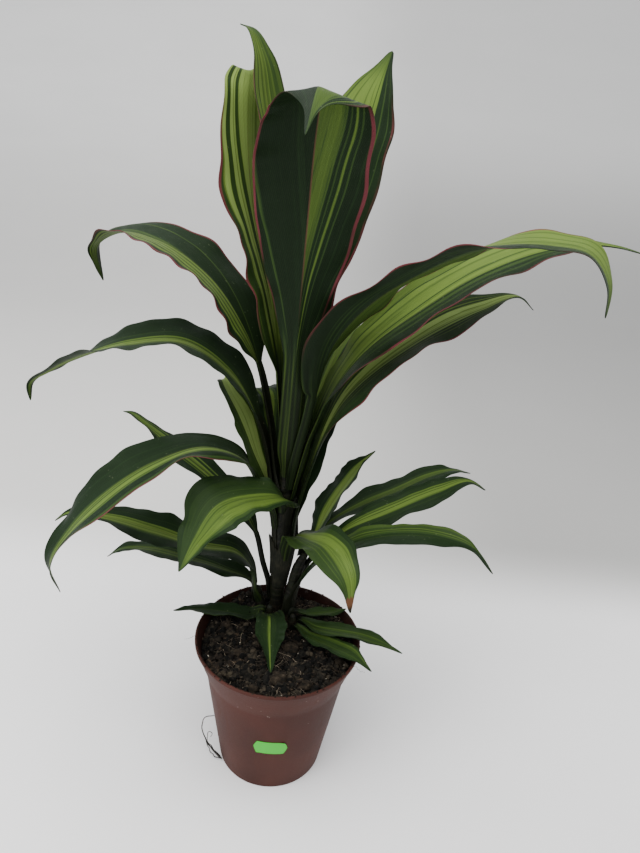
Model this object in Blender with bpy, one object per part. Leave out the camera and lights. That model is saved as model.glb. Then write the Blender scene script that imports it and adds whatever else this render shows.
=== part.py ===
# A ti plant (Cordyline fruticosa) in a 12 cm nursery pot, standing at the origin.
# The leaves are grown from one rule: each clasps its stem, runs up as a petiole and arches out as a blade.
# Lengths are in millimetres and become metres where a mesh is made.

import math
from collections import namedtuple

import bpy
import numpy as np

MM = 0.001
GAP = 0.3  # clearance between pieces that touch

# Pot: a 12 cm nursery pot
POT_HEIGHT = 110.0
RIM_RADIUS = 60.0
RIM_DEPTH = 18.0
RIM_FOOT_RADIUS = 56.6
STEP_RADIUS = 52.6
FOOT_RADIUS = 39.0
WALL = 1.3
LIP_HEIGHT = 2.4
RIM_Z = POT_HEIGHT - RIM_DEPTH
POT_SIDES = 48
DRAIN_HOLES = 8
DRAIN_HOLE_RADIUS = 4.0
DRAIN_RING_RADIUS = 28.0

# Soil
SOIL_LEVEL = 101.0
SOIL_BUMP = 1.6  # how far its mounds rise and sink
STEM_DEPTH = 25.0  # how far a stem reaches down below its first listed point

# Price label on the front of the pot
LABEL_WIDTH = 25.0
LABEL_HEIGHT = 14.0
LABEL_THICK = 0.7
LABEL_Z = 47.0
LABEL_TURN = math.radians(-87.0)
LABEL_TILT = math.radians(-2.0)
LABEL_POINTS = (2.4, 1.0, 0.0, 1.0, 2.4)  # how far each row of the label's ends steps in

# Stray root at the pot's foot, which starts and ends just off the wall
ROOT_RADIUS = 0.8
ROOT_PATH = (
    (-34.9, -20.7, 3.0), (-41, -18, 6), (-49, -13, 13), (-53, -8, 22), (-51, -7, 29), (-43.9, -6.9, 32))

# Leaf blades
BLADE_THICK = 0.8
MIDRIB_THICK = 1.5
PETIOLE_THICK = 1.8
SHEATH_LENGTH = 24.0
SHEATH_WRAP = math.radians(38.0)  # half of the angle that a leaf foot clasps of its stem
PETIOLE_WRAP = math.radians(42.0)  # how far a petiole's edges curl up
LEAN_OUT = 0.16  # how fast a leaf foot leans away from its stem
FOOT_GAP = 0.5  # from a stem to a leaf foot's face, which leaves its corners a little over GAP clear
ACROSS = (-1.0, -0.5, 0.0, 0.5, 1.0)  # points of a row, as shares of the half width
PETIOLE_STEPS = (0.0, 0.2, 0.5, 0.8)  # rows, as shares of the petiole and then of the blade
BLADE_STEPS = (0.0, 0.08, 0.18, 0.3, 0.42, 0.54, 0.66, 0.76, 0.85, 0.92, 0.97, 1.0)

# Each stem: points on its middle line, each with the stem's radius there
STEMS = {
    "main_cane": (
        (-5, 38, 104, 5.2), (-5, 38, 126, 5.8), (-4, 38, 148, 7.2), (-4, 38, 166, 7.4),
        (-5, 38, 178, 6.2), (-5, 38, 205, 5.4), (-5, 38, 246, 2.6)),
    "right_cane": ((3, 30, 104, 4.2), (6, 34, 126, 4.2), (9, 36, 144, 4.0), (13, 36, 156, 2.8)),
    "left_shoot": ((-17, 38, 104, 3.4), (-18, 38, 112, 3.2), (-20, 38, 121, 2.4)),
    "basal_shoot_left": ((-9, 25, 104, 3.2), (-9, 25, 109, 3.0), (-9, 25, 114, 2.2)),
    "basal_shoot_right": ((9, 19, 104, 3.2), (9, 19, 108, 3.0), (9, 19, 112, 2.2)),
}

# Each leaf: where its foot clasps its stem (height and side; 0 is +X, 90 is +Y), its petiole's length,
# its blade's width and where that is widest as a share of the blade, its heading, its route out of the
# stem as reach, height and any step aside to the left, the twist about its route from foot to tip, how
# far its halves fold up from foot to tip, and the height of its waves.
Leaf = namedtuple("Leaf", "stem height side petiole width belly heading route twists folds wave")
LEAVES = {
    "leaf_crown_front": Leaf(
        "main_cane", 224, -88, 86, 63, 0.55, -84,
        ((11, 290), (16, 340), (27, 395), (41, 443), (57, 465), (80, 469, -3), (112, 449, -9)),
        (0, 0, 0), (12, 10, -14, -24), 1.0),
    "leaf_crown_left": Leaf(
        "main_cane", 226, 122, 74, 50, 0.48, 149,
        ((12, 301), (23, 346), (38, 392), (47, 444), (50, 470, -3), (53, 478, -8), (62, 473, -19)),
        (0, 0, 0, 25), (15, 12, -4, -8), 1.0),
    "leaf_crown_back": Leaf(
        "main_cane", 238, 128, 96, 36, 0.5, 145,
        ((1, 300), (8, 350), (20, 410), (35, 466, 1), (41, 487, 1), (49, 499, 1), (58, 502, 1)),
        (0, 0, 0), (18, 18, 12), 1.0),
    "leaf_crown_right": Leaf(
        "main_cane", 230, 30, 72, 62, 0.6, 46,
        ((7, 300), (14, 345), (28, 390), (42, 440), (51, 474), (60, 496, -2)), (0, 0, 0), (15, 15, 10), 1.0),
    "leaf_left_1": Leaf(
        "main_cane", 210, 202, 96, 62, 0.45, 174,
        ((14, 262, -1), (32, 321), (60, 358), (92, 376), (120, 378), (134, 368), (131, 346)),
        (0, 18, 2, 0), (12, 10, 8), 1.5),
    "leaf_left_2": Leaf(
        "main_cane", 192, 192, 80, 44, 0.42, 182,
        ((20, 259), (43, 298), (71, 315), (108, 311), (140, 299), (163, 286), (176, 276), (177, 264)),
        (0, 9, 3, -30), (14, 12, 8), 1.5),
    "leaf_left_3": Leaf(
        "main_cane", 174, 114, 24, 32, 0.45, 164,
        ((13, 208, -3), (24, 233, -2), (36, 260, -3), (46, 278), (54, 282, -8), (60, 271, -20)),
        (0, 10, 10), (14, 12, 0), 1.5),
    "leaf_left_4": Leaf(
        "main_cane", 180, 203, 44, 44, 0.5, 205,
        ((16, 208, -3), (32, 238, -1), (60, 251), (92, 244), (124, 225), (146, 203), (161, 176), (156, 153)),
        (0, 3, 3), (10, 8, 5), 2.0),
    "leaf_left_5": Leaf(
        "main_cane", 114, 165, 55, 22, 0.42, 155,
        ((14, 140), (23, 167), (40, 186), (70, 203), (93, 213), (127, 227), (141, 232), (149, 231)),
        (0, 10, 10), (12, 10, 8), 1.5),
    "leaf_front_left": Leaf(
        "main_cane", 196, -80, 22, 44, 0.43, -131,
        ((8, 207, 12), (18, 217, 14), (35, 221, 8), (62, 219), (80, 203), (93, 182)),
        (0, 10, 10), (10, 8, 5), 2.0),
    "leaf_low_left_1": Leaf(
        "left_shoot", 112, 250, 24, 35, 0.45, 188,
        ((9, 142, -1), (20, 155), (44, 160), (80, 173), (113, 183), (141, 185), (149, 179)),
        (0, 5, 5), (12, 10, 8), 2.0),
    "leaf_low_left_2": Leaf(
        "left_shoot", 104, 156, 24, 24, 0.45, 172,
        ((7, 125), (32, 134), (60, 138), (90, 140), (115, 134), (127, 124)), (0, 0, 0), (12, 10, 8), 2.0),
    "leaf_right_1": Leaf(
        "main_cane", 214, -42, 76, 54, 0.4, -20,
        ((13, 266), (26, 326), (49, 357), (74, 377), (109, 397), (145, 404), (166, 402), (178, 388),
         (181, 370)),
        (0, 0, 30, 0, -10), (12, 8, 8), 1.5),
    "leaf_right_2": Leaf(
        "main_cane", 204, 2, 62, 48, 0.45, 6,
        ((16, 256, 1), (43, 313), (80, 348), (118, 376), (158, 393), (200, 397), (218, 394)),
        (0, -14, -12), (14, 12, 8), 1.5),
    "leaf_right_3": Leaf(
        "main_cane", 170, 8, 60, 47, 0.5, 13,
        ((15, 222), (39, 285), (76, 320), (124, 348), (152, 356), (163, 348)),
        (0, -10, -10), (14, 12, 8), 2.5),
    "leaf_right_4": Leaf(
        "main_cane", 196, 36, 54, 42, 0.45, 66,
        ((15, 240, 1), (46, 274), (76, 298), (102, 308), (120, 305)), (0, -10, -10), (14, 12, 8), 2.0),
    "leaf_back_1": Leaf(
        "main_cane", 214, 102, 66, 48, 0.45, 93,
        ((13, 265), (34, 318), (80, 356), (130, 360), (170, 334), (188, 300)),
        (0, 5, 10), (12, 10, 8), 1.5),
    "leaf_back_2": Leaf(
        "main_cane", 150, 50, 34, 34, 0.4, 68,
        ((12, 200), (26, 228), (50, 248), (76, 250), (94, 234)), (0, 0, 0), (12, 10, 8), 2.0),
    "leaf_back_3": Leaf(
        "main_cane", 202, 127, 44, 28, 0.45, 121,
        ((12, 227, 2), (25, 254, 1), (40, 270, -2), (54, 268), (64, 256)), (0, 0, 0), (12, 10, 8), 2.0),
    "leaf_low_right_1": Leaf(
        "right_cane", 153, 128, 18, 28, 0.45, 36,
        ((7, 172, -2), (18, 189), (35, 212), (47, 225), (58, 232)), (0, 15, 15), (16, 14, 10), 1.0),
    "leaf_low_right_2": Leaf(
        "right_cane", 136, 9, 32, 29, 0.5, 5,
        ((17, 162, -1), (34, 179), (64, 196), (99, 216), (121, 226), (133, 220)),
        (0, -10, -10), (12, 10, 8), 1.5),
    "leaf_low_right_3": Leaf(
        "right_cane", 109, -89, 34, 22, 0.5, -18,
        ((14, 150), (41, 180), (74, 199), (106, 206), (128, 204), (143, 190)),
        (0, -10, -10), (12, 10, 8), 1.5),
    "leaf_low_right_4": Leaf(
        "right_cane", 146, 68, 28, 24, 0.5, 34,
        ((10, 170, -2), (26, 180, -1), (54, 187), (87, 192), (116, 198), (145, 198), (166, 191)),
        (0, 0, 0), (12, 10, 8), 1.5),
    "leaf_front_right": Leaf(
        "main_cane", 154, -58, 18, 33, 0.5, -55,
        ((13, 176), (36, 189), (60, 195), (81, 186), (89, 164)), (0, -10, -10), (10, 8, 5), 2.0),
    "leaf_soil_front": Leaf(
        "basal_shoot_left", 107, -95, 7, 20, 0.38, -83,
        ((12, 115), (30, 111), (47, 107), (58, 104.4)), (0, 0), (12, 10), 0.5),
    "leaf_soil_left": Leaf(
        "basal_shoot_left", 104, 178, 8, 14, 0.45, 190,
        ((14, 107), (28, 110), (45, 113), (60, 114.5), (72, 113)), (0, 0), (12, 10), 0.5),
    "leaf_soil_right_1": Leaf(
        "basal_shoot_right", 109, 106, 11, 10, 0.45, 16,
        ((12, 112, 2), (26, 113), (42, 114, 1)), (0, 0), (12, 10), 0.5),
    "leaf_soil_right_2": Leaf(
        "basal_shoot_right", 104, 20, 8, 16, 0.45, -20,
        ((20, 110), (38, 113), (54, 116), (70, 116), (86, 113)), (0, 0), (12, 10), 0.5),
    "leaf_soil_right_3": Leaf(
        "basal_shoot_right", 104, -75, 7, 16, 0.5, -40,
        ((18, 107, -1), (40, 111), (60, 115), (76, 112)), (0, 0), (12, 10), 0.5),
}

LEAF_GREEN = (0.035, 0.085, 0.035)
STEM_BROWN = (0.03, 0.03, 0.02)
POT_BROWN = (0.127, 0.061, 0.048)
SOIL_BROWN = (0.021, 0.014, 0.011)
LABEL_GREEN = (0.127, 0.716, 0.08)
ROOT_BROWN = (0.03, 0.018, 0.01)


def smooth_step(x):
    x = min(1.0, max(0.0, x))
    return x * x * (3.0 - 2.0 * x)


def spread(values, share):
    """The value at a share of the way along evenly spaced values, on a smooth curve through them."""
    values = np.asarray(values, float)
    place = min(0.99999, max(0.0, share)) * (len(values) - 1)
    i = int(place)
    f = place - i
    before = values[max(0, i - 1)]
    after = values[min(len(values) - 1, i + 2)]
    a, b = values[i], values[i + 1]
    lean_a = (b - before) / (2.0 if i else 1.0)
    lean_b = (after - a) / (2.0 if i + 2 < len(values) else 1.0)
    return (
        (2 * f**3 - 3 * f**2 + 1) * a
        + (f**3 - 2 * f**2 + f) * lean_a
        + (3 * f**2 - 2 * f**3) * b
        + (f**3 - f**2) * lean_b
    )


def unit(vector):
    return vector / np.linalg.norm(vector)


def stem_at(stem, height):
    """The stem's middle point, direction and radius at a height."""
    line = np.asarray(stem, float)
    share = np.interp(height, line[:, 2], np.linspace(0.0, 1.0, len(line)))

    def middle(place):
        return np.array([spread(line[:, axis], place) for axis in range(4)])

    here = middle(share)
    along = middle(min(1.0, share + 0.02)) - middle(max(0.0, share - 0.02))
    return here[:3], unit(along[:3]), here[3]


def smooth_route(knots, count):
    """Evenly spaced points along a smooth curve through the knots, and the curve's length."""
    knots = np.asarray(knots, float)
    spans = np.linalg.norm(np.diff(knots, axis=0), axis=1)
    runs = np.diff(knots, axis=0) / spans[:, None]
    leans = np.vstack([runs[:1], runs, runs[-1:]])
    before, after = np.append(spans[0], spans), np.append(spans, spans[-1])
    leans = (leans[:-1] * after[:, None] + leans[1:] * before[:, None]) / (before + after)[:, None]
    fine = []
    for i, span in enumerate(spans):
        for f in np.linspace(0.0, 1.0, 40, endpoint=i + 1 == len(spans)):
            fine.append(
                (2 * f**3 - 3 * f**2 + 1) * knots[i]
                + (f**3 - 2 * f**2 + f) * span * leans[i]
                + (3 * f**2 - 2 * f**3) * knots[i + 1]
                + (f**3 - f**2) * span * leans[i + 1]
            )
    fine = np.array(fine)
    done = np.concatenate([[0.0], np.cumsum(np.linalg.norm(np.diff(fine, axis=0), axis=1))])
    even = np.linspace(0.0, done[-1], count)
    return np.stack([np.interp(even, done, fine[:, axis]) for axis in range(3)], axis=1), done[-1]


def sheath_length(leaf):
    return min(SHEATH_LENGTH, 2.0 + 0.6 * leaf.petiole)


def leaf_course(leaf):
    """The line on the middle of the leaf's upper face: a function of distance, and its length."""
    stem = STEMS[leaf.stem]
    axis, along, stem_radius = stem_at(stem, leaf.height)
    side, heading = math.radians(leaf.side), math.radians(leaf.heading)
    out = np.array([math.cos(side), math.sin(side), 0.0])
    out = unit(out - along * (out @ along))
    flat = np.array([math.cos(heading), math.sin(heading), 0.0])
    level = np.array([flat[1], -flat[0], 0.0])
    foot = axis + out * (stem_radius + FOOT_GAP)
    sheath = sheath_length(leaf)
    knots = [foot, foot + (along + LEAN_OUT * out) * 0.6 * sheath]
    for reach, height, *aside in leaf.route:
        point = axis + flat * reach - level * sum(aside)
        knots.append(np.array([point[0], point[1], height]))
    count = 200
    points, length = smooth_route(knots, count)
    tangents = np.gradient(points, axis=0)

    def at(distance):
        place = min(count - 1.0001, max(0.0, distance / length * (count - 1)))
        i, f = int(place), place - int(place)
        here = points[i] * (1 - f) + points[i + 1] * f
        tangent = unit(tangents[i] * (1 - f) + tangents[i + 1] * f)
        across = unit(level - tangent * (level @ tangent))
        facing = np.cross(across, tangent)
        grown = smooth_step(distance / sheath)
        facing = (1 - grown) * -out + grown * facing
        facing = unit(facing - tangent * (facing @ tangent))
        across = np.cross(tangent, facing)
        twist = math.radians(spread(leaf.twists, distance / length))
        turned = math.cos(twist) * facing - math.sin(twist) * across
        across = math.cos(twist) * across + math.sin(twist) * facing
        return here, across, turned

    return at, length, stem_radius


def outline(share, belly):
    """Half width of a blade as a share of its widest, which it has at the belly."""
    power = math.log(0.5) / math.log(belly)
    return math.sin(math.pi * share**power) ** 0.8 if 0.0 < share < 1.0 else 0.0


def leaf_sections(leaf, petiole_steps, blade_steps, across_steps):
    """Rows of points across the leaf from foot to tip, each with its upper and its lower face."""
    at, length, stem_radius = leaf_course(leaf)
    blade_length = length - leaf.petiole
    distances = [step * leaf.petiole for step in petiole_steps]
    distances += [leaf.petiole + step * blade_length for step in blade_steps]
    clasp_radius = stem_radius + FOOT_GAP
    petiole_half = 0.06 * leaf.width + 0.8
    rows = []
    for along in distances:
        here, side, facing = at(along)
        blade = max(0.0, (along - leaf.petiole) / blade_length)
        grown = smooth_step(along / sheath_length(leaf))
        opened = smooth_step((along - 0.7 * leaf.petiole) / (0.3 * leaf.petiole + 0.2 * blade_length))
        clasp_half = clasp_radius * SHEATH_WRAP
        slim = (1 - grown) * clasp_half + grown * petiole_half
        half = math.hypot(slim * (1 - blade), 0.5 * leaf.width * outline(blade, leaf.belly)) + 0.5
        wrap = (1 - grown) * SHEATH_WRAP + grown * (1 - opened) * PETIOLE_WRAP
        fold = math.radians(spread(leaf.folds, blade)) * opened
        thick = PETIOLE_THICK + (MIDRIB_THICK - PETIOLE_THICK) * opened
        thick += (BLADE_THICK - thick) * blade**1.5
        upper, lower = [], []
        for u in across_steps:
            angle = max(wrap, 0.02) * u
            flat = half * math.sin(angle) / max(wrap, 0.02)
            raised = half * (1 - math.cos(angle)) / max(wrap, 0.02)
            turn = fold * (1 if u > 0 else -1 if u < 0 else 0)
            x = flat * math.cos(fold)
            z = raised + abs(flat) * math.sin(fold)
            phase = 2.0 * math.pi * (2.5 * blade + (0.35 if u < 0 else 0.0))
            z += leaf.wave * math.sin(phase) * u * u * opened * smooth_step((1 - blade) * 4)
            lean = angle + turn
            here_thick = BLADE_THICK + (thick - BLADE_THICK) * (1 - abs(u)) ** 1.5
            x_low = x + here_thick * math.sin(lean)
            z_low = z - here_thick * math.cos(lean)
            upper.append(here + side * x + facing * z)
            lower.append(here + side * x_low + facing * z_low)
        rows.append((upper, lower))
    return rows


def new_object(name, mesh, color, roughness):
    material = bpy.data.materials.new(name)
    material.use_nodes = True
    shader = material.node_tree.nodes["Principled BSDF"]
    shader.inputs["Base Color"].default_value = (*color, 1.0)
    shader.inputs["Roughness"].default_value = roughness
    mesh.materials.append(material)
    obj = bpy.data.objects.new(name, mesh)
    bpy.context.scene.collection.objects.link(obj)
    return obj


def mesh_of(name, points, faces):
    mesh = bpy.data.meshes.new(name)
    mesh.from_pydata([tuple(np.asarray(p) * MM) for p in points], [], faces)
    mesh.shade_smooth()
    mesh.set_sharp_from_angle(angle=math.radians(40.0))
    return mesh


def leaf_mesh(name, leaf):
    """A closed leaf: the same diagonals on both faces, the lower face joined round the edge."""
    rows = leaf_sections(leaf, PETIOLE_STEPS, BLADE_STEPS, ACROSS)
    count = len(ACROSS)
    points = []
    for upper, lower in rows:
        points.extend(upper)
        points.extend(lower)
    faces = []

    def corner(row, k, low):
        return row * 2 * count + low * count + k

    for row in range(len(rows) - 1):
        for k in range(count - 1):
            for low in (0, 1):
                a, b = corner(row, k, low), corner(row, k + 1, low)
                c, d = corner(row + 1, k + 1, low), corner(row + 1, k, low)
                pair = [(a, b, c), (a, c, d)]
                faces.extend(pair if low == 0 else [face[::-1] for face in pair])
        for k, flip in ((0, False), (count - 1, True)):
            a, b = corner(row, k, 0), corner(row + 1, k, 0)
            c, d = corner(row + 1, k, 1), corner(row, k, 1)
            pair = [(a, b, c), (a, c, d)]
            faces.extend([face[::-1] for face in pair] if flip else pair)
    for row, flip in ((0, True), (len(rows) - 1, False)):
        for k in range(count - 1):
            a, b = corner(row, k, 0), corner(row, k + 1, 0)
            c, d = corner(row, k + 1, 1), corner(row, k, 1)
            pair = [(a, b, c), (a, c, d)]
            faces.extend([face[::-1] for face in pair] if flip else pair)
    return mesh_of(name, points, faces)


def tube_mesh(name, rings, sides):
    """A closed round rod through rings of (middle, direction, radius)."""
    points, faces = [], []
    for middle, along, radius in rings:
        first = unit(np.cross(along, (0.0, 1.0, 0.0)))
        second = np.cross(along, first)
        for k in range(sides):
            turn = 2 * math.pi * k / sides
            points.append(middle + radius * (math.cos(turn) * first + math.sin(turn) * second))
    for row in range(len(rings) - 1):
        for k in range(sides):
            a, b = row * sides + k, row * sides + (k + 1) % sides
            faces.append((a, b, b + sides, a + sides))
    faces.append(tuple(reversed(range(sides))))
    faces.append(tuple(range(len(points) - sides, len(points))))
    return mesh_of(name, points, faces)


def stem_mesh(name, stem):
    rings = []
    foot, _, radius = stem_at(stem, stem[0][2])
    rings.append((foot - np.array([0.0, 0.0, STEM_DEPTH]), np.array([0.0, 0.0, 1.0]), radius))
    low, high = stem[0][2], stem[-1][2]
    count = max(4, round((high - low) / 12))
    for i in range(count + 1):
        rings.append(stem_at(stem, low + (high - low) * i / count))
    top, along, radius = rings[-1]
    for lift, size in ((0.5, 0.87), (0.87, 0.5), (0.97, 0.2)):
        rings.append((top + along * radius * lift, along, radius * size))
    return tube_mesh(name, rings, 14)


def turned_mesh(name, outline_points, sides, lift=None):
    """A closed solid turned about Z from an outline of (radius, z) that starts and ends on the axis."""
    points, faces, rings = [], [], []
    for radius, z in outline_points:
        count = sides if radius > 0 else 1
        rings.append((len(points), count))
        for k in range(count):
            turn = 2 * math.pi * k / sides
            x, y = radius * math.cos(turn), radius * math.sin(turn)
            points.append((x, y, z + (lift(x, y, z) if lift else 0.0)))
    for (a, a_count), (b, b_count) in zip(rings, rings[1:]):
        for k in range(sides):
            n = (k + 1) % sides
            if a_count == 1:
                faces.append((a, b + n, b + k))
            elif b_count == 1:
                faces.append((a + k, a + n, b))
            else:
                faces.append((a + k, a + n, b + n, b + k))
    return mesh_of(name, points, faces)


def wall_radius(z):
    """The pot's outer radius below its rim."""
    return FOOT_RADIUS + (STEP_RADIUS - FOOT_RADIUS) * z / RIM_Z


def pot_outline():
    lip = 0.5
    return (
        (0.0, 0.0), (FOOT_RADIUS - lip, 0.0), (FOOT_RADIUS, lip), (STEP_RADIUS, RIM_Z - lip),
        (RIM_FOOT_RADIUS - lip, RIM_Z), (RIM_FOOT_RADIUS, RIM_Z + lip),
        (RIM_RADIUS - lip, POT_HEIGHT - LIP_HEIGHT), (RIM_RADIUS, POT_HEIGHT - LIP_HEIGHT + lip),
        (RIM_RADIUS, POT_HEIGHT - lip), (RIM_RADIUS - lip, POT_HEIGHT),
        (RIM_RADIUS - lip - WALL, POT_HEIGHT), (RIM_FOOT_RADIUS - WALL, RIM_Z + WALL + lip),
        (STEP_RADIUS - WALL, RIM_Z + WALL), (FOOT_RADIUS - WALL, WALL + lip),
        (FOOT_RADIUS - WALL - lip, WALL), (0.0, WALL),
    )


def soil_lift(x, y, z):
    """Low mounds on the top of the soil; its sides and underside stay plain."""
    if z < SOIL_LEVEL - 0.1:
        return 0.0
    waves = math.sin(0.16 * x + 0.9) * math.cos(0.13 * y) + 0.5 * math.sin(0.37 * x - 0.29 * y)
    return SOIL_BUMP * waves / 1.5


def soil_outline():
    shelf = RIM_Z + WALL + 1.0
    rim_slope = (RIM_RADIUS - RIM_FOOT_RADIUS) / RIM_DEPTH
    edge = RIM_FOOT_RADIUS - WALL - GAP + rim_slope * (SOIL_LEVEL - 1.0 - shelf)
    outline_points = [
        (0.0, WALL + GAP), (FOOT_RADIUS - WALL - GAP - 0.6, WALL + GAP),
        (wall_radius(RIM_Z - 0.5) - WALL - GAP - 0.2, RIM_Z - 0.5),
        (STEP_RADIUS - WALL - GAP - 0.2, shelf + GAP),
        (RIM_FOOT_RADIUS - WALL - GAP - 0.3, shelf + GAP + 0.2),
        (edge - 0.3, SOIL_LEVEL - 1.0),
    ]
    tops = (0.985, 0.86, 0.72, 0.58, 0.44, 0.3, 0.15, 0.0)
    return outline_points + [(edge * share, SOIL_LEVEL) for share in tops]


def cylinder(name, middle, low, high, radius, sides=20):
    """A hidden upright cylinder used as a cutter."""
    points, faces = [], []
    for z in (low, high):
        for k in range(sides):
            turn = 2 * math.pi * k / sides
            points.append((middle[0] + radius * math.cos(turn), middle[1] + radius * math.sin(turn), z))
    for k in range(sides):
        n = (k + 1) % sides
        faces.append((k, n, n + sides, k + sides))
    faces.append(tuple(reversed(range(sides))))
    faces.append(tuple(range(sides, 2 * sides)))
    cutter = bpy.data.objects.new(name, mesh_of(name, points, faces))
    bpy.context.scene.collection.objects.link(cutter)
    cutter.hide_render = True
    cutter.display_type = "WIRE"
    return cutter


def cut(obj, cutter):
    bite = obj.modifiers.new(cutter.name, "BOOLEAN")
    bite.operation = "DIFFERENCE"
    bite.solver = "EXACT"
    bite.object = cutter


def label_mesh(name):
    """A thin plate bent round the pot, with its two ends coming to a blunt point."""
    columns, rows = 9, len(LABEL_POINTS)
    points, faces = [], []
    for lift in (GAP, GAP + LABEL_THICK):
        for j in range(rows):
            for i in range(columns):
                u, v = 2.0 * i / (columns - 1) - 1.0, 2.0 * j / (rows - 1) - 1.0
                x = u * (0.5 * LABEL_WIDTH - LABEL_POINTS[j] * abs(u))
                z = v * 0.5 * LABEL_HEIGHT
                height = LABEL_Z + z * math.cos(LABEL_TILT) + x * math.sin(LABEL_TILT)
                radius = wall_radius(height) + lift
                turn = LABEL_TURN + (x * math.cos(LABEL_TILT) - z * math.sin(LABEL_TILT)) / radius
                points.append((radius * math.cos(turn), radius * math.sin(turn), height))
    sheet = columns * rows
    for j in range(rows - 1):
        for i in range(columns - 1):
            a = j * columns + i
            inner = (a, a + 1, a + columns + 1, a + columns)
            for corners in ((inner[0], inner[1], inner[2]), (inner[0], inner[2], inner[3])):
                faces.append(tuple(sheet + c for c in corners))
                faces.append(corners[::-1])
    rim = list(range(columns))
    rim += [j * columns + columns - 1 for j in range(1, rows)]
    rim += [(rows - 1) * columns + i for i in range(columns - 2, -1, -1)]
    rim += [j * columns for j in range(rows - 2, 0, -1)]
    for a, b in zip(rim, rim[1:] + rim[:1]):
        faces.append((a, b, b + sheet))
        faces.append((a, b + sheet, a + sheet))
    return mesh_of(name, points, faces)


def root_mesh(name):
    """A stray root that curls out at the pot's foot and back to its wall."""
    points, _ = smooth_route(ROOT_PATH, 22)
    tangents = np.gradient(points, axis=0)
    rings = []
    for i, (point, tangent) in enumerate(zip(points, tangents)):
        share = i / (len(points) - 1)
        rings.append((point, unit(tangent), ROOT_RADIUS * (1.0 - 0.5 * share)))
    return tube_mesh(name, rings, 8)


def main():
    for obj in list(bpy.data.objects):
        bpy.data.objects.remove(obj)
    pot = new_object("pot", turned_mesh("pot", pot_outline(), POT_SIDES), POT_BROWN, 0.6)
    for k in range(DRAIN_HOLES):
        turn = 2 * math.pi * (k + 0.5) / DRAIN_HOLES
        middle = (DRAIN_RING_RADIUS * math.cos(turn), DRAIN_RING_RADIUS * math.sin(turn))
        cut(pot, cylinder(f"cut_drain_{k}", middle, -1.0, WALL + 1.0, DRAIN_HOLE_RADIUS))
    soil = new_object("soil", turned_mesh("soil", soil_outline(), POT_SIDES, soil_lift), SOIL_BROWN, 0.95)
    for name, stem in STEMS.items():
        x, y, foot, radius = stem[0]
        low = foot - STEM_DEPTH - GAP
        cut(soil, cylinder(f"cut_{name}", (x, y), low, foot, radius + GAP))
        new_object(name, stem_mesh(name, stem), STEM_BROWN, 0.7)
    for name, leaf in LEAVES.items():
        new_object(name, leaf_mesh(name, leaf), LEAF_GREEN, 0.45)
    new_object("price_label", label_mesh("price_label"), LABEL_GREEN, 0.5)
    new_object("drain_root", root_mesh("drain_root"), ROOT_BROWN, 0.85)


main()
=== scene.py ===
# A variegated ti plant in a nursery pot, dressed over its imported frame.
# Sizes are written in millimetres and become metres where a mesh is made.

import math
import random
from collections import namedtuple

import bmesh
import bpy
import numpy as np
from mathutils import Matrix, Vector, noise


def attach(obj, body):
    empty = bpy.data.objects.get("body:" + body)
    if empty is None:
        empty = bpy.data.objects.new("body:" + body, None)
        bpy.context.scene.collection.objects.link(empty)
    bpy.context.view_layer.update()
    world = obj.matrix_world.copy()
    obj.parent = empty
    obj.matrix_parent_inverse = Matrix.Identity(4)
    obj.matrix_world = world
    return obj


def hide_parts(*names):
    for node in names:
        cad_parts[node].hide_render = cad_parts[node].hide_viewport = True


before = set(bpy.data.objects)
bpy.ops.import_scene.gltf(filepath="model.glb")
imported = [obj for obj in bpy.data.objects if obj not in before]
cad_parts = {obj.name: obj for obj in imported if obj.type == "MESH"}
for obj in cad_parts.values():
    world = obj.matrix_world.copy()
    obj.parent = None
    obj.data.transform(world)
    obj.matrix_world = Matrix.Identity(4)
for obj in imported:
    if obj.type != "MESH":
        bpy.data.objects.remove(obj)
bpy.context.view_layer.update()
mm = 0.001
print("frame loaded:", len(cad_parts), "nodes")


# Shader maths written as plain expressions

class Wire:
    def __init__(self, graph, socket):
        self.graph = graph
        self.socket = socket

    def __add__(self, other):
        return self.graph.calc("ADD", self, other)

    def __sub__(self, other):
        return self.graph.calc("SUBTRACT", self, other)

    def __rsub__(self, other):
        return self.graph.calc("SUBTRACT", other, self)

    def __mul__(self, other):
        return self.graph.calc("MULTIPLY", self, other)

    def __truediv__(self, other):
        return self.graph.calc("DIVIDE", self, other)

    def __pow__(self, other):
        return self.graph.calc("POWER", self, other)

    def __abs__(self):
        return self.graph.calc("ABSOLUTE", self)

    __radd__ = __add__
    __rmul__ = __mul__


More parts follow.
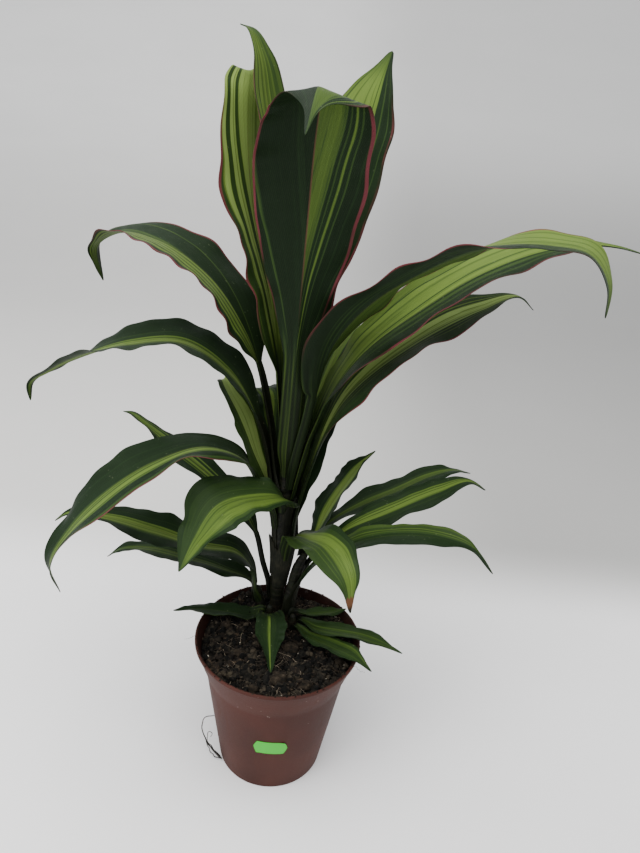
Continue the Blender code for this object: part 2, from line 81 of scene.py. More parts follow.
class Graph:
    # A new material's node tree, with one Principled BSDF
    def __init__(self, name):
        self.material = bpy.data.materials.new(name)
        self.material.use_nodes = True
        self.tree = self.material.node_tree
        self.shader = self.tree.nodes["Principled BSDF"]

    def feed(self, socket, value):
        if isinstance(value, Wire):
            self.tree.links.new(value.socket, socket)
        elif isinstance(value, tuple) and socket.type == "RGBA":
            socket.default_value = (*value, 1)
        else:
            socket.default_value = value

    def node(self, kind, *values, settings=None, out=0, **named):
        made = self.tree.nodes.new(kind)
        for key, value in (settings or {}).items():
            setattr(made, key, value)
        for key, value in [*enumerate(values), *named.items()]:
            self.feed(made.inputs[key], value)
        return Wire(self, made.outputs[out])

    def calc(self, operation, *values):
        return self.node("ShaderNodeMath", *values, settings={"operation": operation})

    def parts(self, vector):
        # the three components of a vector
        split = self.node("ShaderNodeSeparateXYZ", vector).socket.node
        return [Wire(self, socket) for socket in split.outputs]

    def mix(self, factor, a, b):
        made = self.tree.nodes.new("ShaderNodeMix")
        made.data_type = "RGBA"
        for place, value in ((0, factor), (6, a), (7, b)):
            self.feed(made.inputs[place], value)
        return Wire(self, made.outputs[2])

    def step(self, value, low, high):
        # 0 below low, 1 above high, smooth between; low may be the larger
        settings = {"interpolation_type": "SMOOTHSTEP"}
        return self.node("ShaderNodeMapRange", value, low, high, 0.0, 1.0, settings=settings)

    def place(self, scale=(1, 1, 1)):
        # object coordinates in millimetres, scaled
        where = self.node("ShaderNodeTexCoord", out=3)
        return self.node("ShaderNodeMapping", where, Scale=tuple(s / mm for s in scale))

    def grain(self, vector, scale, detail=2.0, rough=0.5, warp=0.0):
        return self.node("ShaderNodeTexNoise", Vector=vector, Scale=scale, Detail=detail,
                         Roughness=rough, Distortion=warp)

    def ramp(self, value, stops):
        made = self.node("ShaderNodeValToRGB", value)
        elements = made.socket.node.color_ramp.elements
        for place, _ in stops[len(elements):]:
            elements.new(place)
        for element, (place, _) in zip(elements, stops):
            element.position = place
        for element, (_, tone) in zip(elements, stops):
            element.color = (tone, tone, tone, 1) if isinstance(tone, float) else (*tone, 1)
        return made

    def bump(self, height, distance, strength):
        return self.node("ShaderNodeBump", Height=height, Distance=distance * mm, Strength=strength)

    def finish(self, **sockets):
        for key, value in sockets.items():
            self.feed(self.shader.inputs[key.replace("_", " ")], value)
        return self.material


# Meshes and points

def makeObject(name, mesh, material=None):
    obj = bpy.data.objects.new(name, mesh)
    bpy.context.scene.collection.objects.link(obj)
    if material:
        mesh.materials.clear()
        mesh.materials.append(material)
    return obj


def smooth(mesh, sharp=None):
    # shaded smooth, but for edges sharper than the given degrees
    mesh.shade_smooth()
    if sharp:
        mesh.set_sharp_from_angle(angle=math.radians(sharp))


def meshOf(name, points, faces, sharp=None):
    mesh = bpy.data.meshes.new(name)
    mesh.from_pydata((np.asarray(points, float) * mm).tolist(), [], faces)
    smooth(mesh, sharp)
    return mesh


def evaluated(obj):
    # the object's mesh after its modifiers
    bpy.context.view_layer.update()
    depsgraph = bpy.context.evaluated_depsgraph_get()
    return bpy.data.meshes.new_from_object(obj.evaluated_get(depsgraph))


def dress(piece, slotName, *nodes):
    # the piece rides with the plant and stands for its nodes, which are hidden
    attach(piece, "root")
    if nodes:
        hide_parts(*nodes)


def joined(shapes):
    # the points and faces of several shapes as one shape's
    points, faces = [], []
    for somePoints, someFaces in shapes:
        faces += [tuple(len(points) + corner for corner in face) for face in someFaces]
        points += somePoints
    return points, faces


def ringFaces(counts):
    # faces between rings of points laid one after another; a ring of one point is a pole
    faces, sides, a = [], max(counts), 0
    for count, nextCount in zip(counts, counts[1:]):
        b = a + count
        for k in range(sides):
            n = (k + 1) % sides
            if count == 1:
                faces.append((a, b + n, b + k))
            elif nextCount == 1:
                faces.append((a + k, a + n, b))
            else:
                faces.append((a + k, a + n, b + n, b + k))
        a = b
    return faces


def sheetFaces(rows, columns):
    # faces of two sheets of points, the lower one first, joined round their edge
    faces, sheet = [], rows * columns
    for j in range(rows - 1):
        for i in range(columns - 1):
            a = j * columns + i
            b = a + columns
            faces += [(a, b, b + 1, a + 1), (sheet + a, sheet + a + 1, sheet + b + 1, sheet + b)]
    edge = list(range(columns)) + [j * columns + columns - 1 for j in range(1, rows)]
    edge += range(sheet - 2, sheet - columns - 1, -1)
    edge += [j * columns for j in range(rows - 2, 0, -1)]
    return faces + [(a, b, b + sheet, a + sheet) for a, b in zip(edge, edge[1:] + edge[:1])]


def tube(rings, sides, guide=(0.0, 1.0, 0.0)):
    # points and faces of a closed tube through rings of (middle, direction, radius or radii)
    turns = 2 * math.pi * np.arange(sides) / sides
    points = []
    for middle, along, radii in rings:
        first = unit(np.cross(along, guide))
        spokes = np.outer(np.cos(turns), first) + np.outer(np.sin(turns), np.cross(along, first))
        points += list(middle + np.reshape(radii, (-1, 1)) * spokes)
    faces = ringFaces([sides] * len(rings))
    faces += [tuple(reversed(range(sides))), tuple(range(len(points) - sides, len(points)))]
    return points, faces


def unit(vector):
    return vector / np.linalg.norm(vector)


def around(radius, turn, z=0.0):
    # the point at a radius and an angle round Z
    return np.array([radius * math.cos(turn), radius * math.sin(turn), z])


def between(a, b, share):
    return a + (b - a) * share


def smoothStep(x):
    x = min(1.0, max(0.0, x))
    return x * x * (3.0 - 2.0 * x)


def cubic(f, a, b, leanA, leanB):
    # from a to b as f goes from 0 to 1, setting out and arriving at the given slopes
    return (
        (2 * f**3 - 3 * f**2 + 1) * a + (f**3 - 2 * f**2 + f) * leanA
        + (3 * f**2 - 2 * f**3) * b + (f**3 - f**2) * leanB
    )


def waveRun(draw, count, fewest, most, least):
    # waves of random length, start and height, laid over each other
    waves = [(draw.uniform(fewest, most), draw.uniform(0, 6.3), draw.uniform(least, 1))
             for _ in range(count)]
    return lambda x: sum(size * math.sin(turns * x + phase) for turns, phase, size in waves)


# Camera, floor and light

view = {
    "place": (16, -396, 457),
    "down": 24.2,  # degrees below level
    "roll": 5.4,
    "focal": 690 / 853,  # focal length as a share of the picture's height
    "sensor": 36,
}
stage = {
    "floorColor": (0.94, 0.925, 0.92),
    "farColor": (0.68, 0.665, 0.64),
    "wallColor": (0.93, 0.915, 0.89),
    "shadeColor": (0.29, 0.285, 0.275),
    "cloudColor": (0.5, 0.5, 0.49),
    # where the colours change: how far back, how high up and how far to the right
    "farSpan": (180.0, 330.0),
    "wallSpan": (0.0, 500.0),
    "shadeSpan": (-160.0, 300.0),
    "wallAt": 2600,
    "halfWidth": 4000,
    "front": -3000,
    "top": 3200,
    "cove": 1400,
    "coveSteps": 24,
    "skyColor": (0.93, 0.96, 1.0, 1),
    "skyPower": 1.0,
}
lights = (
    # name, place, aim, size, power, colour
    ("skyPanel", (-200, -250, 1500), (0, 60, 150), 1500, 34, (1.0, 0.99, 0.97)),
    ("windowPanel", (-1200, -900, 900), (0, 0, 220), 900, 11, (0.97, 0.99, 1.0)),
)


def setCamera():
    data = bpy.data.cameras.new("camera")
    data.sensor_fit = "VERTICAL"
    data.sensor_height = view["sensor"]
    data.lens = view["sensor"] * view["focal"]
    data.clip_start = 0.01
    camera = makeObject("camera", data)
    tip, roll = math.radians(view["down"]), math.radians(view["roll"])
    ahead = Vector((0, math.cos(tip), -math.sin(tip)))
    above = Vector((0, math.sin(tip), math.cos(tip)))
    aside = Vector((1, 0, 0))
    right = aside * math.cos(roll) + above * math.sin(roll)
    above = above * math.cos(roll) - aside * math.sin(roll)
    turn = Matrix((right, above, -ahead)).transposed().to_4x4()
    camera.matrix_world = Matrix.Translation(Vector(view["place"]) * mm) @ turn
    bpy.context.scene.camera = camera


def setStage():
    # one sheet: a level floor that sweeps up into the backdrop
    half, cove, steps = stage["halfWidth"], stage["cove"], stage["coveSteps"]
    start = stage["wallAt"] - cove
    line = [(stage["front"], 0.0), (start, 0.0)]
    for k in range(1, steps + 1):
        turn = 0.5 * math.pi * k / steps
        line.append((start + cove * math.sin(turn), cove - cove * math.cos(turn)))
    line.append((stage["wallAt"], stage["top"]))
    points = [(x, y, z) for y, z in line for x in (-half, half)]
    faces = [(2 * k, 2 * k + 1, 2 * k + 3, 2 * k + 2) for k in range(len(line) - 1)]
    g = Graph("backdropPaper")
    aside, back, height = g.parts(g.place())
    cloud = g.grain(g.place((1, 1, 3)), 0.004, 3.0)
    far = g.step(back, *stage["farSpan"])
    raised = g.step(height, *stage["wallSpan"])
    shade = g.step(aside, *stage["shadeSpan"]) * far * (1 - raised * 0.6)
    color = g.mix(far, stage["floorColor"], stage["farColor"])
    color = g.mix(raised, color, stage["wallColor"])
    color = g.mix(shade * 0.75, color, stage["shadeColor"])
    color = g.mix(cloud * 0.2, color, stage["cloudColor"])
    paper = g.finish(Base_Color=color, Roughness=0.9)
    floor = makeObject("backdrop", meshOf("backdrop", points, faces), paper)


def setLights():
    for name, place, aim, size, power, color in lights:
        lamp = bpy.data.lights.new(name, "AREA")
        lamp.shape = "SQUARE"
        lamp.size = size * mm
        lamp.energy = power
        lamp.color = color
        obj = makeObject(name, lamp)
        obj.location = Vector(place) * mm
        toward = (Vector(aim) - Vector(place)).normalized()
        obj.rotation_euler = toward.to_track_quat("-Z", "Y").to_euler()
    world = bpy.data.worlds.new("studio")
    world.use_nodes = True
    sky = world.node_tree.nodes["Background"].inputs
    sky["Color"].default_value = stage["skyColor"]
    sky["Strength"].default_value = stage["skyPower"]
    bpy.context.scene.world = world


setCamera()
setStage()
setLights()
print("camera, floor and light set")


# Stems and leaves

# Points on the middle line, each with the stem's radius there
stemRows = {
    "main_cane": (
        (-5, 38, 104, 5.2), (-5, 38, 126, 5.8), (-4, 38, 148, 7.2), (-4, 38, 166, 7.4),
        (-5, 38, 178, 6.2), (-5, 38, 205, 5.4), (-5, 38, 246, 2.6)),
    "right_cane": ((3, 30, 104, 4.2), (6, 34, 126, 4.2), (9, 36, 144, 4.0), (13, 36, 156, 2.8)),
    "left_shoot": ((-17, 38, 104, 3.4), (-18, 38, 112, 3.2), (-20, 38, 121, 2.4)),
    "basal_shoot_left": ((-9, 25, 104, 3.2), (-9, 25, 109, 3.0), (-9, 25, 114, 2.2)),
    "basal_shoot_right": ((9, 19, 104, 3.2), (9, 19, 108, 3.0), (9, 19, 112, 2.2)),
}

# Each leaf: where its foot clasps its stem (height and side; 0 is +X, 90 is +Y), its petiole's
# length, its blade's width and where that is widest as a share of the blade, its heading, its route
# out of the stem as reach, height and any step aside to the left, the twist about its route from
# foot to tip, how far its halves fold up from foot to tip, and the height of its waves.
Leaf = namedtuple("Leaf", "stem height side petiole width belly heading route twists folds wave")
leaves = {
    "crown_front": Leaf(
        "main_cane", 224, -88, 86, 63, 0.55, -84,
        ((11, 290), (16, 340), (27, 395), (41, 443), (57, 465), (80, 469, -3), (112, 449, -9)),
        (0, 0, 0), (12, 10, -14, -24), 1.0),
    "crown_left": Leaf(
        "main_cane", 226, 122, 74, 50, 0.48, 149,
        ((12, 301), (23, 346), (38, 392), (47, 444), (50, 470, -3), (53, 478, -8), (62, 473, -19)),
        (0, 0, 0, 25), (15, 12, -4, -8), 1.0),
    "crown_back": Leaf(
        "main_cane", 238, 128, 96, 36, 0.5, 145,
        ((1, 300), (8, 350), (20, 410), (35, 466, 1), (41, 487, 1), (49, 499, 1), (58, 502, 1)),
        (0, 0, 0), (18, 18, 12), 1.0),
    "crown_right": Leaf(
        "main_cane", 230, 30, 72, 62, 0.6, 46,
        ((7, 300), (14, 345), (28, 390), (42, 440), (51, 474), (60, 496, -2)), (0, 0, 0),
        (15, 15, 10), 1.0),
    "left_1": Leaf(
        "main_cane", 210, 202, 96, 62, 0.45, 174,
        ((14, 262, -1), (32, 321), (60, 358), (92, 376), (120, 378), (134, 368), (131, 346)),
        (0, 18, 2, 0), (12, 10, 8), 1.5),
    "left_2": Leaf(
        "main_cane", 192, 192, 80, 44, 0.42, 182,
        ((20, 259), (43, 298), (71, 315), (108, 311), (140, 299), (163, 286), (176, 276),
         (177, 264)),
        (0, 9, 3, -30), (14, 12, 8), 1.5),
    "left_3": Leaf(
        "main_cane", 174, 114, 24, 32, 0.45, 164,
        ((13, 208, -3), (24, 233, -2), (36, 260, -3), (46, 278), (54, 282, -8), (60, 271, -20)),
        (0, 10, 10), (14, 12, 0), 1.5),
    "left_4": Leaf(
        "main_cane", 180, 203, 44, 44, 0.5, 205,
        ((16, 208, -3), (32, 238, -1), (60, 251), (92, 244), (124, 225), (146, 203), (161, 176),
         (156, 153)),
        (0, 3, 3), (10, 8, 5), 2.0),
    "left_5": Leaf(
        "main_cane", 114, 165, 55, 22, 0.42, 155,
        ((14, 140), (23, 167), (40, 186), (70, 203), (93, 213), (127, 227), (141, 232), (149, 231)),
        (0, 10, 10), (12, 10, 8), 1.5),
    "front_left": Leaf(
        "main_cane", 196, -80, 22, 44, 0.43, -131,
        ((8, 207, 12), (18, 217, 14), (35, 221, 8), (62, 219), (80, 203), (93, 182)),
        (0, 10, 10), (10, 8, 5), 2.0),
    "low_left_1": Leaf(
        "left_shoot", 112, 250, 24, 35, 0.45, 188,
        ((9, 142, -1), (20, 155), (44, 160), (80, 173), (113, 183), (141, 185), (149, 179)),
        (0, 5, 5), (12, 10, 8), 2.0),
    "low_left_2": Leaf(
        "left_shoot", 104, 156, 24, 24, 0.45, 172,
        ((7, 125), (32, 134), (60, 138), (90, 140), (115, 134), (127, 124)), (0, 0, 0),
        (12, 10, 8), 2.0),
    "right_1": Leaf(
        "main_cane", 214, -42, 76, 54, 0.4, -20,
        ((13, 266), (26, 326), (49, 357), (74, 377), (109, 397), (145, 404), (166, 402),
         (178, 388), (181, 370)),
        (0, 0, 30, 0, -10), (12, 8, 8), 1.5),
    "right_2": Leaf(
        "main_cane", 204, 2, 62, 48, 0.45, 6,
        ((16, 256, 1), (43, 313), (80, 348), (118, 376), (158, 393), (200, 397), (218, 394)),
        (0, -14, -12), (14, 12, 8), 1.5),
    "right_3": Leaf(
        "main_cane", 170, 8, 60, 47, 0.5, 13,
        ((15, 222), (39, 285), (76, 320), (124, 348), (152, 356), (163, 348)),
        (0, -10, -10), (14, 12, 8), 2.5),
    "right_4": Leaf(
        "main_cane", 196, 36, 54, 42, 0.45, 66,
        ((15, 240, 1), (46, 274), (76, 298), (102, 308), (120, 305)), (0, -10, -10), (14, 12, 8),
        2.0),
    "back_1": Leaf(
        "main_cane", 214, 102, 66, 48, 0.45, 93,
        ((13, 265), (34, 318), (80, 356), (130, 360), (170, 334), (188, 300)),
        (0, 5, 10), (12, 10, 8), 1.5),
    "back_2": Leaf(
        "main_cane", 150, 50, 34, 34, 0.4, 68,
        ((12, 200), (26, 228), (50, 248), (76, 250), (94, 234)), (0, 0, 0), (12, 10, 8), 2.0),
    "back_3": Leaf(
        "main_cane", 202, 127, 44, 28, 0.45, 121,
        ((12, 227, 2), (25, 254, 1), (40, 270, -2), (54, 268), (64, 256)), (0, 0, 0), (12, 10, 8),
        2.0),
    "low_right_1": Leaf(
        "right_cane", 153, 128, 18, 28, 0.45, 36,
        ((7, 172, -2), (18, 189), (35, 212), (47, 225), (58, 232)), (0, 15, 15), (16, 14, 10), 1.0),
    "low_right_2": Leaf(
        "right_cane", 136, 9, 32, 29, 0.5, 5,
        ((17, 162, -1), (34, 179), (64, 196), (99, 216), (121, 226), (133, 220)),
        (0, -10, -10), (12, 10, 8), 1.5),
    "low_right_3": Leaf(
        "right_cane", 109, -89, 34, 22, 0.5, -18,
        ((14, 150), (41, 180), (74, 199), (106, 206), (128, 204), (143, 190)),
        (0, -10, -10), (12, 10, 8), 1.5),
    "low_right_4": Leaf(
        "right_cane", 146, 68, 28, 24, 0.5, 34,
        ((10, 170, -2), (26, 180, -1), (54, 187), (87, 192), (116, 198), (145, 198), (166, 191)),
        (0, 0, 0), (12, 10, 8), 1.5),
    "front_right": Leaf(
        "main_cane", 154, -58, 18, 33, 0.5, -55,
        ((13, 176), (36, 189), (60, 195), (81, 186), (89, 164)), (0, -10, -10), (10, 8, 5), 2.0),
    "soil_front": Leaf(
        "basal_shoot_left", 107, -95, 7, 20, 0.38, -83,
        ((12, 115), (30, 111), (47, 107), (58, 104.4)), (0, 0), (12, 10), 0.5),
    "soil_left": Leaf(
        "basal_shoot_left", 104, 178, 8, 14, 0.45, 190,
        ((14, 107), (28, 110), (45, 113), (60, 114.5), (72, 113)), (0, 0), (12, 10), 0.5),
    "soil_right_1": Leaf(
        "basal_shoot_right", 109, 106, 11, 10, 0.45, 16,
        ((12, 112, 2), (26, 113), (42, 114, 1)), (0, 0), (12, 10), 0.5),
    "soil_right_2": Leaf(
        "basal_shoot_right", 104, 20, 8, 16, 0.45, -20,
        ((20, 110), (38, 113), (54, 116), (70, 116), (86, 113)), (0, 0), (12, 10), 0.5),
    "soil_right_3": Leaf(
        "basal_shoot_right", 104, -75, 7, 16, 0.5, -40,
        ((18, 107, -1), (40, 111), (60, 115), (76, 112)), (0, 0), (12, 10), 0.5),
}

# How each leaf is striped. left and right list the tone at the midrib and then, for each next
# stripe, where it starts and its tone, from the midrib (0) to the margin (1) half way along the
# blade, seen from the foot looking out over the upper face: tone 0 is dark green and 1
# yellow-green. slant is how far the stripes of each half run outwards from foot to tip, pink how
# wide each half's margin is, shade how bright the underside's stripes are, rib how pink the midrib
# is, base the half width of the leaf's foot in millimetres, lift how much paler the whole leaf is
# painted: painted light, for leaves that face away from the lamps and lie in shade.
Look = namedtuple("Look", "left right slant pink shade rib base lift", defaults=(0.0,))
looks = {
    "crown_front": Look(
        (0.66, 0.02, 0.58, 0.05, 0.7, 0.2, 0.6, 0.3, 0.08, 0.36, 0.5, 0.38, 0.1, 0.45, 0.85, 0.5,
         0.1, 0.58, 0.5, 0.61, 0.04, 0.8, 0.25, 0.83, 0.02, 1.1, 0.28, 1.13, 0.02),
        (0.02, 0.1, 0.12, 0.2, 0.0, 0.9, 0.3, 0.93, 0.5, 0.97, 0.02, 1.25, 0.2, 1.28, 0.02),
        (1.05, 0.9), (0.05, 0.03), 1.0, 0.5, 7.4),
    "crown_left": Look(
        (1.1, 0.0, 1.1, 0.1, 0.08, 0.23, 1.1, 0.3, 0.75, 0.33, 1.15, 0.44, 0.05, 0.59, 1.1, 0.74,
         0.5, 0.78, 0.02, 1.1, 0.4, 1.14, 0.02),
        (1.0, 0.2, 0.5, 0.3, 0.95, 0.5, 0.15, 0.8, 0.05),
        (0.8, 0.4), (0.05, 0.03), 1.0, 0.3, 7.5, 0.34),
    "crown_back": Look(
        (0.95, 0.1, 0.7, 0.25, 0.95, 0.5, 0.5, 0.6, 0.9, 0.8, 0.4),
        (0.75, 0.06, 0.9, 0.12, 0.6, 0.3, 0.72, 0.4, 0.5, 0.6, 0.64, 0.8, 0.45),
        (0.3, 0.3), (0.03, 0.03), 1.0, 0.2, 6.0),
    "crown_right": Look(
        (1.0, 0.06, 0.75, 0.1, 1.0, 0.4, 0.7, 0.44, 0.95, 0.66, 0.5, 0.72, 0.85, 0.86, 0.4),
        (1.0, -0.08, 0.5, -0.04, 0.95, 0.12, 0.12, 0.34, 0.55, 0.39, 0.1, 0.62, 0.4, 0.66, 0.08),
        (0.35, 0.5), (0.03, 0.06), 1.0, 0.2, 7.5),
    "left_1": Look(
        (0.8, 0.0, 0.4, 0.05, 0.98, 0.18, 0.15, 0.25, 1.0, 0.4, 0.2, 0.46, 0.95, 0.58, 0.12, 0.65,
         0.9, 0.77, 0.1, 0.88, 0.04),
        (0.3, -0.06, 0.5, 0.02, 0.12, 0.08, 0.04, 0.52, 0.62, 0.55, 0.06, 0.9, 0.02),
        (0.25, 0.9), (0.06, 0.03), 0.9, 0.1, 3.4, 0.07),
    "left_2": Look(
        (0.9, 0.04, 0.7, 0.08, 0.98, 0.36, 0.4, 0.42, 0.7, 0.5, 0.14, 0.7, 0.1, 0.9, 0.05),
        (0.95, 0.06, 0.3, 0.1, 0.75, 0.18, 0.12, 0.36, 0.3, 0.39, 0.06, 0.6, 0.03),
        (0.15, 0.3), (0.0, 0.0), 0.9, 0.0, 5.0, 0.08),
    # left_3's tones run above 1: painted light on a leaf that faces away from the lamps
    "left_3": Look(
        (1.7, 0.2, 1.3, 0.24, 1.7, 0.36, 0.4, 0.5, 0.5, 0.54, 0.3),
        (1.8, 0.2, 1.4, 0.25, 1.7, 0.4, 0.6, 0.46, 0.3, 0.8, 0.25),
        (0.45, 0.4), (0.0, 0.0), 1.0, 0.0, 0, 0.12),
    "left_4": Look(
        (0.9, 0.04, 0.35, 0.08, 0.95, 0.14, 0.3, 0.2, 1.0, 0.4, 0.5, 0.46, 0.9, 0.5, 0.12, 0.72,
         0.1, 0.84, 0.45, 0.95, 0.3),
        (0.5, 0.02, 0.4, 0.06, 0.12, 0.25, 0.2, 0.28, 0.1, 0.6, 0.2, 0.63, 0.1),
        (0.25, 0.35), (0.025, 0.0), 0.9, 0.1, 6.0),
    "left_5": Look(
        (0.9, 0.0, 0.4, 0.12, 0.9, 0.3, 0.2, 0.4, 0.7, 0.5, 0.12),
        (0.8, 0.1, 0.9, 0.2, 0.2, 0.36, 0.8, 0.46, 0.1),
        (0.3, 0.3), (0.0, 0.0), 0.9, 0.1, 0),
    "front_left": Look(
        (0.84, 0.08, 0.55, 0.12, 0.84, 0.3, 0.66, 0.36, 0.88, 0.62, 0.8, 0.7, 0.5, 0.82, 0.22),
        (0.85, 0.06, 0.5, 0.1, 0.33, 0.3, 0.44, 0.33, 0.32, 0.75, 0.26),
        (0.1, -0.15), (0.0, 0.0), 0.9, 0.0, 8.0),
    "low_left_1": Look(
        (0.95, 0.08, 0.7, 0.14, 1.0, 0.3, 0.6, 0.4, 0.3, 0.5, 0.1, 0.8, 0.04),
        (1.0, 0.1, 0.6, 0.16, 0.85, 0.24, 0.12, 0.5, 0.2, 0.54, 0.06),
        (0.2, 0.25), (0.0, 0.0), 0.9, 0.1, 6.2, 0.07),
    "low_left_2": Look(
        (0.6, 0.1, 0.4, 0.25, 0.65, 0.4, 0.3, 0.6, 0.12),
        (0.5, 0.1, 0.15, 0.2, 0.4, 0.26, 0.08),
        (0.2, 0.2), (0.0, 0.0), 0.9, 0.1, 3.6, 0.07),
    "right_1": Look(
        (0.95, 0.08, 0.75, 0.14, 1.0, 0.4, 0.8, 0.46, 1.0, 0.7, 0.8, 0.76, 0.95, 0.92, 0.6),
        (0.8, 0.04, 0.5, 0.1, 0.12, 0.3, 0.5, 0.34, 0.08, 0.45, 0.6, 0.5, 0.1, 0.58, 0.4, 0.62,
         0.05),
        (0.35, 0.6), (0.04, 0.04), 0.6, 0.1, 7.0),
    "right_2": Look(
        (1.0, 0.1, 0.85, 0.16, 0.35, 0.19, 0.95, 0.5, 0.75, 0.56, 1.0, 0.72, 0.4, 0.76, 0.85),
        (0.9, 0.04, 0.5, 0.1, 0.12, 0.18, 0.5, 0.3, 0.4, 0.36, 0.14, 0.5, 0.4, 0.6, 0.12, 0.8,
         0.05),
        (0.3, 0.35), (0.015, 0.05), 0.9, 0.1, 6.5),
    "right_3": Look(
        (1.4, 0.08, 0.9, 0.12, 1.5, 0.34, 0.3, 0.42, 0.8, 0.47, 0.25, 0.6, 0.6, 0.66, 0.2),
        (1.3, 0.06, 0.45, 0.1, 1.3, 0.2, 0.2, 0.3, 0.8, 0.34, 0.2, 0.46, 0.7, 0.5, 0.2, 0.85, 0.1),
        (0.3, 0.3), (0.02, 0.03), 0.9, 0.1, 6.0, 0.1),
    "right_4": Look(
        (0.9, 0.1, 0.5, 0.2, 0.85, 0.4, 0.2, 0.55, 0.6, 0.7, 0.1),
        (0.8, 0.1, 0.25, 0.3, 0.6, 0.4, 0.1),
        (0.3, 0.3), (0.02, 0.03), 0.9, 0.1, 5.5),
    "back_1": Look(
        (0.9, 0.1, 0.5, 0.2, 0.85, 0.45, 0.15, 0.6, 0.5, 0.66, 0.1),
        (0.9, 0.08, 0.3, 0.3, 0.8, 0.42, 0.12, 0.6, 0.6, 0.66, 0.08),
        (0.6, 0.6), (0.03, 0.03), 0.9, 0.1, 6.0),
    "back_2": Look(
        (0.9, 0.15, 0.3, 0.3, 0.6, 0.36, 0.1), (0.85, 0.2, 0.4, 0.3, 0.8, 0.4, 0.12),
        (0.3, 0.3), (0.0, 0.0), 0.9, 0.1, 5.5),
    "back_3": Look(
        (0.8, 0.2, 0.3, 0.4, 0.7, 0.55, 0.15), (0.9, 0.2, 0.5, 0.35, 0.12),
        (0.3, 0.3), (0.0, 0.0), 0.9, 0.1, 5.5),
    "low_right_1": Look(
        (0.95, 0.05, 1.0, 0.3, 0.6, 0.36, 0.8, 0.4, 0.12, 0.6, 0.2, 0.63, 0.05),
        (0.95, 0.06, 0.75, 0.1, 1.0, 0.44, 0.5, 0.5, 0.1, 0.7, 0.03),
        (0.15, 0.15), (0.0, 0.0), 0.95, 0.1, 0, 0.06),
    "low_right_2": Look(
        (0.7, 0.06, 0.85, 0.26, 0.4, 0.3, 0.8, 0.42, 0.3, 0.46, 0.7, 0.56, 0.12, 0.8, 0.05),
        (0.3, 0.03, 0.1, 0.3, 0.22, 0.34, 0.06, 0.8, 0.03),
        (0.1, 0.1), (0.0, 0.0), 0.9, 0.0, 0, 0.13),
    "low_right_3": Look(
        (0.1, 0.2, 0.3, 0.34, 0.5, 0.44, 0.25, 0.54, 0.62, 0.62, 0.3, 0.8, 0.45),
        (0.08, 0.3, 0.16, 0.33, 0.06, 0.8, 0.03),
        (0.1, 0.1), (0.0, 0.0), 0.9, 0.0, 0, 0.13),
    "low_right_4": Look(
        (0.5, 0.15, 0.6, 0.3, 0.2, 0.5, 0.08), (0.5, 0.12, 0.2, 0.3, 0.06),
        (0.1, 0.1), (0.0, 0.0), 0.9, 0.1, 0, 0.13),
    "front_right": Look(
        (0.82, 0.02, 0.7, 0.1, 0.86, 0.44, 0.66, 0.5, 0.78, 0.6, 0.3, 0.8, 0.16),
        (0.8, 0.12, 0.6, 0.17, 0.36, 0.3, 0.6, 0.33, 0.36, 0.5, 0.6, 0.54, 0.34, 0.8, 0.4),
        (0.35, 0.25), (0.0, 0.0), 0.9, 0.0, 7.0, 0.08),
    "soil_front": Look(
        (0.5, 0.02, 0.24, 0.3, 0.3, 0.34, 0.2),
        (1.0, 0.14, 0.75, 0.2, 0.35, 0.3, 0.25, 0.5, 0.2),
        (0.05, 0.05), (0.0, 0.0), 0.9, 0.0, 8.0),
    "soil_left": Look(
        (0.22, 0.3, 0.3, 0.34, 0.2, 0.85, 0.35), (0.2, 0.4, 0.28, 0.44, 0.15),
        (0.05, 0.05), (0.0, 0.0), 0.9, 0.0, 6.0),
    "soil_right_1": Look(
        (0.5, 0.3, 0.35, 0.7, 0.3), (0.45, 0.2, 0.55, 0.4, 0.35, 0.7, 0.3),
        (0.1, 0.1), (0.0, 0.0), 0.9, 0.0, 0),
    "soil_right_2": Look(
        (0.5, 0.15, 0.62, 0.3, 0.35, 0.6, 0.3), (0.4, 0.3, 0.55, 0.6, 0.35, 0.8, 0.25),
        (0.1, 0.1), (0.0, 0.0), 0.9, 0.0, 0),
    "soil_right_3": Look(
        (0.3, 0.3, 0.55, 0.5, 0.64, 0.7, 0.3), (0.35, 0.2, 0.5, 0.4, 0.35, 0.7, 0.25),
        (0.1, 0.1), (0.0, 0.0), 0.9, 0.0, 0),
}

leafShape = {
    "gap": 0.5,  # from the stem to the foot of a leaf
    "bladeThick": 0.5,
    "edgeThick": 0.32,
    "ribThick": 1.5,
    "ribWidth": 1.5,
    "groove": (0.25, 0.9),  # depth and half width of the furrow over the midrib
    "petioleThick": 1.7,
    "petioleHalf": (0.8, 0.06),  # half its width: a length and a share of the blade's width
    "wideFoot": 5.5,  # leaves with a wider foot have pale lines on it
    "sheath": (2.0, 0.6, 24.0),  # its length: a length, a share of the petiole's, and the most
    "sheathWrap": math.radians(38.0),
    "petioleWrap": math.radians(42.0),
    "leanOut": 0.16,
    "opening": (0.7, 0.2),  # starts at a share of the petiole and ends at a share of the blade
    "extraHalf": (0.5, 0.2),  # added to the half width, along the blade and at its tip
    # where the tip starts to be drawn in, over what share, how much, and how slim the blade is
    "tip": (0.68, 0.27, 0.42, 0.8),
    "edgeWander": 0.14,  # how far the edges stray, as a share of the half width
    "ruffle": 1.15,  # height of the small waves at the edge of a blade 50 wide
    "crumple": 2.4,  # height of the broad dents of a blade
    "dentScale": (0.045, 1.4),  # along, for each millimetre, and across, for each half width
    "waves": (2.5, 0.35),  # how many run along a blade, and how far one edge's are ahead
    "fades": (4, 5, 6),  # how late waves, ruffle and dents end before the tip
    "petioleRows": 26,
    "bladeRows": 96,
    "rowCrowding": 1.15,  # over 1, the blade's rows lie closer together towards its tip
    "columns": 21,
    "courseSteps": 300,
}
